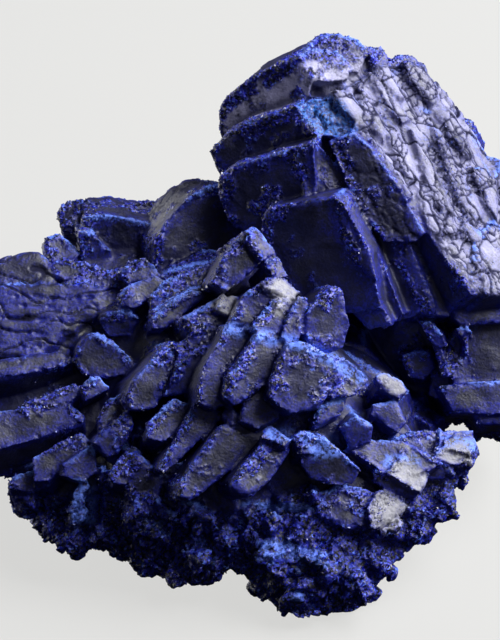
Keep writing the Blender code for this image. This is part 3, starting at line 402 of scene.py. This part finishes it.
def surface(points, normals, spots, facings):
    """Moves the points of the skin, and says what each one is covered with and where light and shade
    are painted on it.
    """
    place = on_display(points)
    edge_far, edge_way = nearest_edges(points, spots, facings)
    near_edge = np.exp(-(edge_far / 0.3) ** 2)
    shaken = points + 0.35 * np.stack([waves(points, 1.7, salt) for salt in (1, 2, 3)], axis=1)
    bent = on_display(shaken)

    # where each kind of surface is
    front = ramp(place[:, 2], *DISPLAY_REACH)
    slope = inside(place, SLOPE, 1.0) * ramp(place[:, 2], *SLOPE_REACH)
    plate = inside(place, COBBLED_PLATE, 0.6) * ramp(place[:, 2], *PLATE_REACH)
    elsewhere = ramp(waves(points, 11.0, 5), 0.05, 0.35) * (1 - front)
    cobbled = np.maximum(np.maximum(slope, plate), elsewhere)
    drusy = np.maximum(inside(place, DRUSY, 1.6) * front, ramp(points[:, 2], 7.0, 4.0) * (1 - front))
    drusy = np.clip(drusy + 0.5 * inside(place, TEAL_PATCH, 0.6) * front, 0, 1)
    terraced = inside(place, TERRACED, 1.0) * front

    # what growth and breakage leave on it
    height = growth_steps(points, near_edge)
    level, crack = torn_sheets(points, place)
    torn = terraced * crack
    height += terraced * 0.10 * level - 0.13 * torn
    height -= near_edge * (0.02 + 0.22 * ramp(rough(points, CHIP_SIZE, 2, 23), 0.0, 0.7))
    block, seam, tone = slope_plates(bent)
    height += cobbled * block
    crystals, joint = druse(along_blades(bent))
    height += drusy * crystals
    rim = crusted_rim(points, edge_far, edge_way) * (1 - 0.9 * terraced) * (1 - 0.6 * slope)
    height += np.clip(rim + 0.15 * drusy + 0.03 * cobbled, 0, 1) * fine_crust(points) + 0.05 * rim
    height *= ramp(points[:, 2], 0.05, 0.8)

    # cracks of the slope and the terraces, where shade is painted into the colour
    cracks = np.maximum(cobbled * seam, torn)
    cover = {"edge": np.exp(-edge_far / 0.9) * (1 - 0.15 * terraced),
             # rims that face up, which get a painted highlight
             "lit": ramp(edge_way @ (0.15 * ACROSS - 0.90 * DOWN + 0.30 * OUT), 0.15, 0.8),
             "rim": rim, "drusy": drusy, "tone": tone,
             "teal": inside(place, TEAL_PATCH, 0.8) * front,
             # faces with a painted highlight
             "pale": inside_any(place, HIGHLIGHTED_FACES, 0.5) * front,
             # a painted sheen on the slope and the top plate
             "painted_sheen": np.maximum(0.75 * slope, 1.5 * inside_any(place, SHEENED_PLATES, 1.2) * front),
             "powdered": inside_any(place, POWDERED, 0.7) * front,
             # painted shade in cracks and between the crystals of the druse
             "shaded_gap": np.maximum(cracks, drusy * 0.35 * (1 - ramp(joint, 0.0, 0.2)))}
    points = points + normals * height[:, None]
    points[:, 2] = np.maximum(points[:, 2], 0.0)
    return points, cover


def softened(net, points):
    """The skin with the solid's steps softened where the real ones are slight, and how much it is
    softened at each point. The lobe at the low end is rounder than its solid too."""
    place = on_display(points)
    on_slope = ramp(place[:, 2], *SLOPE_REACH)
    share = inside(place, TERRACED, 1.6) * ramp(place[:, 2], *TERRACE_REACH)
    share = np.maximum(share, 0.35 * inside(place, SLOPE, 1.6) * on_slope)
    share = np.maximum(share, 0.6 * inside(place, DRUSY, 1.6) * on_slope)
    points = relaxed(net, points, share, SOFTENING_ROUNDS)
    place = on_display(points)
    tip = ramp(place[:, 1], 60.6, 62.0) * ramp(place[:, 2], -30.0, -20.0)
    return points - np.outer(tip * (place[:, 1] - 60.6) * 0.8, DOWN), share


def hollows(net, points, normals, spared):
    """Near 1 deep in gaps between crystals, where a filled skin would lie well above this one; there
    the colour is darkened as painted shade.
    """
    filled = relaxed(net, points, np.ones(len(points)), FILLING_ROUNDS)
    deep = ramp(np.sum((filled - points) * normals, axis=1), 0.04, 0.40)
    return 0.85 * deep * (1 - ramp(spared, 0.0, 0.3))


def thinned(net, picked, triangles):
    """The net with the picked points' facets thinned where they are flat, down to a number."""
    piece = new_piece("thinning", net)
    group = piece.vertex_groups.new(name="spare")
    group.add(np.flatnonzero(picked).tolist(), 1.0, "REPLACE")
    mesh_triangles = sum(len(face.vertices) - 2 for face in net.polygons)
    corners = np.empty(len(net.loops), np.int32)
    net.loops.foreach_get("vertex_index", corners)
    kept = mesh_triangles * (1 - picked[corners].mean())
    step = piece.modifiers.new("fewer", "DECIMATE")
    step.ratio = min(1.0, (kept + triangles) / mesh_triangles)
    step.vertex_group = group.name
    view = bpy.context.evaluated_depsgraph_get()
    fewer = bpy.data.meshes.new_from_object(piece.evaluated_get(view))
    bpy.data.objects.remove(piece)
    return fewer


def values_of(mesh, name):
    values = np.empty(len(mesh.vertices), np.float32)
    mesh.attributes[name].data.foreach_get("value", values)
    return values


def seen_from_front(points, normals, bm):
    """1 for the points that the display side shows, 0 for those behind other crystals."""
    tree = bvhtree.BVHTree.FromBMesh(bm)
    viewer = Vector(OUT)
    seen = normals @ OUT > -0.2
    for index in np.flatnonzero(seen):
        start = Vector((points[index] + normals[index] * 0.4) * MM)
        seen[index] = tree.ray_cast(start, viewer)[0] is None
    return seen.astype(float)


def shared_out(skin, pieces):
    """The skin cut from left to right into pieces of equal size, shaded as one surface."""
    flat = np.empty(len(skin.vertices) * 3, np.float32)
    skin.vertex_normals.foreach_get("vector", flat)
    skin.attributes.new("whole", "FLOAT_VECTOR", "POINT").data.foreach_set("vector", flat)
    middles = np.empty(len(skin.polygons) * 3, np.float32)
    skin.polygons.foreach_get("center", middles)
    corners = np.empty(len(skin.polygons), np.int32)
    skin.polygons.foreach_get("loop_total", corners)
    order = np.argsort(middles[0::3], kind="stable")
    shares = np.cumsum(corners[order] - 2) * pieces // (sum(corners - 2) + 1)
    made = []
    for number in range(pieces):
        bm = bmesh.new()
        bm.from_mesh(skin)
        bm.faces.ensure_lookup_table()
        others = order[shares != number]
        bmesh.ops.delete(bm, geom=[bm.faces[index] for index in others], context="FACES")
        mesh = bpy.data.meshes.new("azurite_%d" % (number + 1))
        bm.to_mesh(mesh)
        bm.free()
        mesh.shade_smooth()
        whole = np.empty(len(mesh.vertices) * 3, np.float32)
        mesh.attributes["whole"].data.foreach_get("vector", whole)
        mesh.normals_split_custom_set_from_vertices(whole.reshape(-1, 3))
        mesh.attributes.remove(mesh.attributes["whole"])
        made.append(new_piece(mesh.name, mesh))
    return made


def small_crystals(name, points, normals, chance, count, sizes, seed):
    """A crust of small tapered blades that stand on the skin, most where chance is high."""
    dice = np.random.default_rng(seed)
    picked = dice.choice(len(points), count, p=chance / chance.sum())
    up = normals[picked] + dice.normal(0, 0.45, (count, 3))
    up /= np.linalg.norm(up, axis=1, keepdims=True)
    side = np.cross(up, dice.normal(0, 1, (count, 3)))
    side /= np.linalg.norm(side, axis=1, keepdims=True)
    front = np.cross(up, side)
    size = sizes[0] + (sizes[1] - sizes[0]) * dice.random(count) ** 3.0
    wide = size * dice.uniform(0.55, 1.0, count)
    thick = size * dice.uniform(0.25, 0.5, count)
    tall = size * dice.uniform(0.35, 0.8, count)
    lean = dice.uniform(-0.5, 0.5, (count, 2))
    corners = []
    for level, taper in ((-1.2, 1.0), (0.45, 0.62)):
        for x, y in ((-1, -1), (1, -1), (1, 1), (-1, 1)):
            corners.append(points[picked] + up * (tall * (level + 0.25 * x * lean[:, 0]))[:, None]
                           + side * (wide * taper * x / 2)[:, None]
                           + front * (thick * taper * y / 2)[:, None])
    corners = np.stack(corners, axis=1).reshape(-1, 3)
    sides = np.array([(4, 5, 6, 7), (0, 1, 5, 4), (1, 2, 6, 5), (2, 3, 7, 6), (3, 0, 4, 7),
                      (3, 2, 1, 0)])
    faces = (np.arange(count)[:, None, None] * 8 + sides).reshape(-1, 4)
    mesh = bpy.data.meshes.new(name)
    mesh.from_pydata((corners * MM).tolist(), [], faces.tolist())
    bloom = np.repeat(dice.random(count), 8)
    mesh.attributes.new("bloom", "FLOAT", "POINT").data.foreach_set("value",
                                                                    bloom.astype(np.float32))
    return new_piece(name, mesh)


# ---------------------------------------------------------------- materials
AZURITE_IOR = 1.76   # the middle one of its three, 1.73 to 1.84
SWELL = 3.5          # swells of growth on the broad faces
BLOTCH = 0.8         # ragged blotches of film and powder
GRAIN = 0.25         # grain of every face, drawn coarser than the real 0.05 so that it shows
GRAIN_HEIGHT = 0.09
FACET = 0.22         # facets of the crust, drawn coarser than the real 0.05 for the same reason
RIM_HIGHLIGHT_REACH = 7.0          # from one reach of the painted highlight on up-facing rims to the next


def linear(code):
    """A colour given as sRGB hex, in linear light."""
    parts = [int(code[i:i + 2], 16) / 255 for i in (1, 3, 5)]
    return [p / 12.92 if p <= 0.04045 else ((p + 0.055) / 1.055) ** 2.4 for p in parts] + [1.0]


def node(tree, kind, inputs, out=0, **settings):
    """Adds a node. Its inputs are values or other nodes' outputs; gives the output wanted."""
    made = tree.nodes.new(kind)
    for name, value in settings.items():
        setattr(made, name, value)
    for name, source in inputs.items():
        if isinstance(source, bpy.types.NodeSocket):
            tree.links.new(source, made.inputs[name])
        else:
            made.inputs[name].default_value = source
    return made.outputs[out]


def azurite():
    """Azurite, a copper carbonate: strongly refracting crystals so deep a blue that their broad
    faces look nearly black under a satin grey sheen. Towards the edges, where they are worn or
    crusted with fine crystals, light gets in and out again and shows the blue. The palest blue is
    powdery flecks, and a painted highlight along the upper rims; the colour also holds a painted
    sheen on the slope and the top plate, painted highlights on a few faces and painted shade in
    cracks and crevices."""
    material = bpy.data.materials.new("azurite")
    material.use_nodes = True
    tree = material.node_tree
    place = node(tree, "ShaderNodeTexCoord", {}, "Object")
    cover = {name: node(tree, "ShaderNodeAttribute", {}, "Fac", attribute_name=name)
             for name in ("edge", "lit", "rim", "drusy", "tone", "teal", "pale", "painted_sheen",
                          "powdered", "shaded_gap", "hollow")}
    broad = node(tree, "ShaderNodeTexNoise", {"Vector": place, "Scale": 1 / (SWELL * MM),
                                              "Detail": 3.0})
    ragged = node(tree, "ShaderNodeTexNoise", {"Vector": place, "Scale": 1 / (BLOTCH * MM),
                                               "Detail": 6.0, "Roughness": 0.6})
    grain = node(tree, "ShaderNodeTexNoise", {"Vector": place, "Scale": 1 / (GRAIN * MM),
                                              "Detail": 4.0})
    # every crystal of the crust has a depth of colour of its own, and some are freshly broken
    facet = node(tree, "ShaderNodeTexVoronoi", {"Vector": place, "Scale": 1 / (FACET * MM)},
                 "Color")
    own = node(tree, "ShaderNodeSeparateColor", {"Color": facet}, "Red")
    fresh_face = node(tree, "ShaderNodeSeparateColor", {"Color": facet}, "Green")
    fresh_face = node(tree, "ShaderNodeMapRange", {"Value": fresh_face, "From Min": 0.80,
                                                   "From Max": 0.84})
    crust = node(tree, "ShaderNodeMath", {0: cover["rim"], 1: cover["drusy"]},
                 operation="ADD", use_clamp=True)

    # broad faces: nearly black, with a pale grey painted sheen on the slope and the top plate
    mottle = node(tree, "ShaderNodeMath", {0: broad, 1: grain}, operation="ADD")
    mottle = node(tree, "ShaderNodeMath", {0: mottle, 1: ragged}, operation="ADD")
    mottle = node(tree, "ShaderNodeMapRange", {"Value": mottle, "From Min": 1.1,
                                               "From Max": 1.9})
    colour = node(tree, "ShaderNodeMix", {0: mottle, 6: linear("#07081c"), 7: linear("#21234e")},
                  2, data_type="RGBA")
    painted_sheen = node(tree, "ShaderNodeMath", {0: cover["tone"], 1: 0.5, 2: ragged},
                operation="MULTIPLY_ADD")
    painted_sheen = node(tree, "ShaderNodeMath", {0: grain, 1: 1.1, 2: painted_sheen}, operation="MULTIPLY_ADD")
    painted_sheen = node(tree, "ShaderNodeMath", {0: broad, 1: 2.4, 2: painted_sheen}, operation="MULTIPLY_ADD")
    painted_sheen = node(tree, "ShaderNodeMath", {0: painted_sheen, 1: 1.8}, operation="SUBTRACT")
    painted_sheen = node(tree, "ShaderNodeMath", {0: painted_sheen, 1: cover["painted_sheen"]}, operation="MULTIPLY",
                use_clamp=True)
    colour = node(tree, "ShaderNodeMix", {0: painted_sheen, 6: colour, 7: linear("#908fae")}, 2,
                  data_type="RGBA")
    # deep blue where the crystal is worn thin or crusted: a ragged border along every edge
    halo = node(tree, "ShaderNodeMath", {0: ragged, 1: 1.2, 2: cover["edge"]},
                operation="MULTIPLY_ADD")
    halo = node(tree, "ShaderNodeMath", {0: broad, 1: 1.2, 2: halo}, operation="MULTIPLY_ADD")
    halo = node(tree, "ShaderNodeMath", {0: grain, 1: 0.5, 2: halo}, operation="MULTIPLY_ADD")
    halo = node(tree, "ShaderNodeMapRange", {"Value": halo, "From Min": 1.68, "From Max": 2.10})
    clear = node(tree, "ShaderNodeMath", {0: cover["painted_sheen"], 1: -0.8, 2: 1.0},
                 operation="MULTIPLY_ADD")
    halo = node(tree, "ShaderNodeMath", {0: halo, 1: clear}, operation="MULTIPLY")
    halo = node(tree, "ShaderNodeMath", {0: halo, 1: crust}, operation="MAXIMUM")
    fresh = node(tree, "ShaderNodeMath", {0: own, 1: ragged}, operation="MULTIPLY")
    fresh = node(tree, "ShaderNodeMapRange", {"Value": fresh, "From Min": 0.14,
                                              "From Max": 0.42})
    fresh = node(tree, "ShaderNodeMix", {0: fresh, 6: linear("#02031a"), 7: linear("#121ca6")},
                 2, data_type="RGBA")
    thin = node(tree, "ShaderNodeMapRange", {"Value": grain, "From Min": 0.35,
                                             "From Max": 0.65})
    thin = node(tree, "ShaderNodeMix", {0: thin, 6: linear("#060a3e"), 7: linear("#121a84")}, 2,
                data_type="RGBA")
    blue = node(tree, "ShaderNodeMix", {0: crust, 6: thin, 7: fresh}, 2, data_type="RGBA")
    colour = node(tree, "ShaderNodeMix", {0: halo, 6: colour, 7: blue}, 2, data_type="RGBA")
    # the palest blue: a painted highlight along rims that face up, in reaches, and powdery flecks
    # over the crust and in the powdered patches
    upper = node(tree, "ShaderNodeMath", {0: cover["edge"], 1: cover["lit"]},
                 operation="MULTIPLY")
    upper = node(tree, "ShaderNodeMath", {0: ragged, 1: upper}, operation="ADD")
    upper = node(tree, "ShaderNodeMath", {0: grain, 1: 0.8, 2: upper}, operation="MULTIPLY_ADD")
    upper = node(tree, "ShaderNodeMapRange", {"Value": upper, "From Min": 1.46, "From Max": 1.76})
    # the painted rim highlight comes and goes in reaches this far apart
    bloom = node(tree, "ShaderNodeTexNoise", {"Vector": place, "Scale": 1 / (RIM_HIGHLIGHT_REACH * MM),
                                              "Detail": 2.0})
    bloom = node(tree, "ShaderNodeMapRange", {"Value": bloom, "From Min": 0.46, "From Max": 0.58,
                                              "To Min": 0.10})
    upper = node(tree, "ShaderNodeMath", {0: upper, 1: bloom}, operation="MULTIPLY")
    fleck = node(tree, "ShaderNodeMapRange", {"Value": own, "From Min": 0.84, "From Max": 0.90})
    fleck = node(tree, "ShaderNodeMath", {0: fleck, 1: crust}, operation="MULTIPLY")
    blotch = node(tree, "ShaderNodeMapRange", {"Value": ragged, "From Min": 0.45,
                                               "From Max": 0.62})
    fleck = node(tree, "ShaderNodeMath", {0: fleck, 1: blotch}, operation="MULTIPLY")
    # painted highlight and powdery flecks together
    powder_and_highlight = node(tree, "ShaderNodeMath", {0: upper, 1: fleck}, operation="MAXIMUM")
    loose = node(tree, "ShaderNodeMath", {0: grain, 1: 0.7, 2: ragged},
                 operation="MULTIPLY_ADD")
    loose = node(tree, "ShaderNodeMapRange", {"Value": loose, "From Min": 0.72,
                                              "From Max": 0.92})
    loose = node(tree, "ShaderNodeMath", {0: cover["powdered"], 1: loose}, operation="MULTIPLY")
    powder_and_highlight = node(tree, "ShaderNodeMath", {0: powder_and_highlight, 1: loose}, operation="MAXIMUM")
    colour = node(tree, "ShaderNodeMix", {0: powder_and_highlight, 6: colour, 7: linear("#5878dc")}, 2,
                  data_type="RGBA")
    # a greener skin of copper mineral, and a painted highlight on a few faces
    teal = node(tree, "ShaderNodeMapRange", {"Value": grain, "From Min": 0.40, "From Max": 0.58})
    teal = node(tree, "ShaderNodeMath", {0: cover["teal"], 1: teal}, operation="MULTIPLY")
    colour = node(tree, "ShaderNodeMix", {0: teal, 6: colour, 7: linear("#2a62b8")}, 2,
                  data_type="RGBA")
    # painted highlight: these faces are turned pale grey
    worn = node(tree, "ShaderNodeMapRange", {"Value": ragged, "From Min": 0.25, "From Max": 0.55})
    worn = node(tree, "ShaderNodeMath", {0: worn, 1: cover["pale"]}, operation="MULTIPLY")
    colour = node(tree, "ShaderNodeMix", {0: worn, 6: colour, 7: linear("#74747e")}, 2,
                  data_type="RGBA")
    # painted shade: cracks between blocks and crevices between crystals are darkened in the colour,
    # for the shade in them, where little light comes back out
    colour = node(tree, "ShaderNodeMix", {0: cover["shaded_gap"], 6: colour, 7: linear("#05062c")}, 2,
                  data_type="RGBA")
    # painted shade deep between crystals
    colour = node(tree, "ShaderNodeMix", {0: cover["hollow"], 6: colour, 7: linear("#050738")}, 2,
                  data_type="RGBA")

    # satin faces, duller where powdery or deep in a crack, glassier on fine crystals
    dull = node(tree, "ShaderNodeMapRange", {"Value": ragged, "From Min": 0.3, "From Max": 0.7,
                                             "To Min": 0.42, "To Max": 0.58})
    dull = node(tree, "ShaderNodeMath", {0: powder_and_highlight, 1: 0.2, 2: dull}, operation="MULTIPLY_ADD")
    dull = node(tree, "ShaderNodeMath", {0: cover["painted_sheen"], 1: 0.10, 2: dull},
                operation="MULTIPLY_ADD")
    glassy = node(tree, "ShaderNodeMath", {0: crust, 1: fresh_face}, operation="MULTIPLY")
    dull = node(tree, "ShaderNodeMath", {0: glassy, 1: -0.38, 2: dull}, operation="MULTIPLY_ADD")
    dull = node(tree, "ShaderNodeMath", {0: cover["shaded_gap"], 1: 0.5, 2: dull},
                operation="MULTIPLY_ADD", use_clamp=True)

    # relief too small for the mesh: grain over everything, strongest in the crust
    relief = node(tree, "ShaderNodeMath", {0: crust, 1: 0.7}, operation="ADD")
    relief = node(tree, "ShaderNodeMath", {0: relief, 1: grain}, operation="MULTIPLY")
    bump = node(tree, "ShaderNodeBump", {"Height": relief, "Strength": 0.9,
                                         "Distance": GRAIN_HEIGHT * MM})
    # crystal faces in the crust, each turned its own way
    tilt = node(tree, "ShaderNodeVectorMath", {0: facet, 1: (0.5, 0.5, 0.5)},
                operation="SUBTRACT")
    share = node(tree, "ShaderNodeMath", {0: crust, 1: 0.6}, operation="MULTIPLY")
    tilt = node(tree, "ShaderNodeVectorMath", {0: tilt, "Scale": share}, operation="SCALE")
    turned = node(tree, "ShaderNodeVectorMath", {0: bump, 1: tilt}, operation="ADD")
    turned = node(tree, "ShaderNodeVectorMath", {0: turned}, operation="NORMALIZE")

    shader = tree.nodes["Principled BSDF"]
    shader.inputs["IOR"].default_value = AZURITE_IOR
    # weathered faces are finely pitted, and mirror half as much as fresh ones
    shader.inputs["Specular IOR Level"].default_value = 0.25
    tree.links.new(colour, shader.inputs["Base Color"])
    tree.links.new(dull, shader.inputs["Roughness"])
    tree.links.new(turned, shader.inputs["Normal"])
    return material


def crust_azurite():
    """Azurite in small fresh crystals: clean glassy faces that glint, deep blue where light goes
    in, and a few duller ones painted a light blue-white as painted glints."""
    material = bpy.data.materials.new("azurite_crust")
    material.use_nodes = True
    tree = material.node_tree
    bloom = node(tree, "ShaderNodeAttribute", {}, "Fac", attribute_name="bloom")
    colour = node(tree, "ShaderNodeMix", {0: bloom, 6: linear("#07073e"), 7: linear("#141c9c")},
                  2, data_type="RGBA")
    # painted glints: a few crystals turned light blue-white
    powder_and_highlight = node(tree, "ShaderNodeMapRange", {"Value": bloom, "From Min": 0.88,
                                               "From Max": 1.0})
    colour = node(tree, "ShaderNodeMix", {0: powder_and_highlight, 6: colour, 7: linear("#98a4e4")}, 2,
                  data_type="RGBA")
    dull = node(tree, "ShaderNodeMapRange", {"Value": bloom, "To Min": 0.12, "To Max": 0.55})
    shader = tree.nodes["Principled BSDF"]
    shader.inputs["IOR"].default_value = AZURITE_IOR
    tree.links.new(colour, shader.inputs["Base Color"])
    tree.links.new(dull, shader.inputs["Roughness"])
    return material


# ---------------------------------------------------------------- studio
def way(right, up, near):
    """A direction seen from the display side: to the right, up and towards the viewer."""
    return Vector(ACROSS * right - DOWN * up + OUT * near).normalized()


def look(thing, direction):
    """Turns a camera or a light to face a direction."""
    thing.rotation_mode = "QUATERNION"
    thing.rotation_quaternion = direction.to_track_quat("-Z", "Y")


def softbox(name, direction, away, size, power, target):
    """A flat soft light, so many metres from the target, that faces it."""
    light = bpy.data.lights.new(name, "AREA")
    light.shape = "RECTANGLE"
    light.size, light.size_y = size
    light.energy = power
    lamp = bpy.data.objects.new(name, light)
    bpy.context.scene.collection.objects.link(lamp)
    lamp.location = target + direction * away
    look(lamp, -direction)


def studio():
    """The camera, the lights and the floor."""
    target = Vector((DOWN * (VIEW_MIDDLE - LOW_END) - FOOT) * MM)
    camera_data = bpy.data.cameras.new("camera")
    camera_data.sensor_width = 36.0
    camera_data.lens = camera_data.sensor_width / 2 * VIEW_AWAY / VIEW_HALF
    camera_data.clip_start = 0.01
    camera = bpy.data.objects.new("camera", camera_data)
    bpy.context.scene.collection.objects.link(camera)
    camera.location = target + Vector(OUT) * (VIEW_AWAY * MM)
    look(camera, Vector(-OUT))
    bpy.context.scene.camera = camera

    # a window high on the right, and a pale wall behind on the left that gives some light back
    softbox("window", way(0.70, 0.66, 0.22), 0.30, (0.30, 0.30), 3.8, target)
    softbox("reflector", way(-0.85, 0.25, -0.45), 0.40, (0.40, 0.40), 2.3, target)

    # the room: bright walls on the window's side, dark ones opposite and below
    world = bpy.data.worlds.new("studio")
    world.use_nodes = True
    tree = world.node_tree
    around = node(tree, "ShaderNodeTexCoord", {}, "Generated")
    toward = node(tree, "ShaderNodeVectorMath", {0: around, 1: tuple(way(0.62, 0.30, 0.72))},
                  "Value", operation="DOT_PRODUCT")
    light = node(tree, "ShaderNodeMapRange", {"Value": toward, "From Min": 0.1, "From Max": 0.95,
                                              "To Min": 0.012, "To Max": 0.16},
                 interpolation_type="SMOOTHSTEP")
    tree.links.new(light, tree.nodes["Background"].inputs["Strength"])
    tree.nodes["Background"].inputs["Color"].default_value = linear("#f4f4ff")
    bpy.context.scene.world = world

    bm = bmesh.new()
    bmesh.ops.create_circle(bm, cap_ends=True, radius=0.8, segments=96)
    mesh = bpy.data.meshes.new("floor")
    bm.to_mesh(mesh)
    bm.free()
    floor = new_piece("floor", mesh)
    # matt white paper, lit from all round, that neither shines nor throws light on the stone
    paper = bpy.data.materials.new("paper")
    paper.use_nodes = True
    matt = paper.node_tree.nodes["Principled BSDF"]
    matt.inputs["Base Color"].default_value = linear("#4a4a4a")
    matt.inputs["Roughness"].default_value = 0.9
    matt.inputs["Specular IOR Level"].default_value = 0.0
    matt.inputs["Emission Color"].default_value = linear("#fdfdfb")
    matt.inputs["Emission Strength"].default_value = 0.66
    floor.data.materials.append(paper)
    floor.visible_glossy = False
    floor.visible_diffuse = False
    bpy.context.scene.view_settings.view_transform = "Standard"


# ---------------------------------------------------------------- build
solid = clean_solid()
spots, facings = edge_points(solid)
net = fine_skin(solid)
before, softening = softened(net, points_of(net))
move_points(net, before)
normals = normals_of(net)
points, cover = surface(before, normals, spots, facings)
# painted shade: how far the colour is darkened deep between crystals
cover["hollow"] = hollows(net, before, normals, softening)
cover["seen"] = seen_from_front(before, normals, solid)
solid.free()
move_points(net, points)
for name, values in cover.items():
    net.attributes.new(name, "FLOAT", "POINT").data.foreach_set("value", values.astype(np.float32))
skin = thinned(net, cover["seen"] < 0.5, HIDDEN_TRIANGLES)
skin = thinned(skin, values_of(skin, "seen") >= 0.5, FRONT_TRIANGLES)
skin.attributes.remove(skin.attributes["seen"])

# crystals of the crust, none on the base that the specimen stands on
crusted = np.clip(cover["rim"] + 0.15 * cover["drusy"], 0, 1) * (points[:, 2] > 0.6)
crusted = (crusted * (1 - cover["hollow"]) + 0.002) ** 2.2
crust_stone = crust_azurite()
moved_normals = normals_of(net)
for number, (side, count) in enumerate(((cover["seen"], FRONT_CRYSTALS),
                                        (cover["seen"], FRONT_CRYSTALS),
                                        (1 - cover["seen"], HIDDEN_CRYSTALS))):
    piece = small_crystals("crust_%d" % (number + 1), points, moved_normals, side * crusted, count,
                           CRYSTAL_SIZES, 5 + number)
    piece.data.materials.append(crust_stone)
    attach(piece, "root")

stone = azurite()
for piece in shared_out(skin, SKIN_PIECES):
    piece.data.materials.clear()
    piece.data.materials.append(stone)
    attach(piece, "root")
    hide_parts("azurite_cluster")
studio()
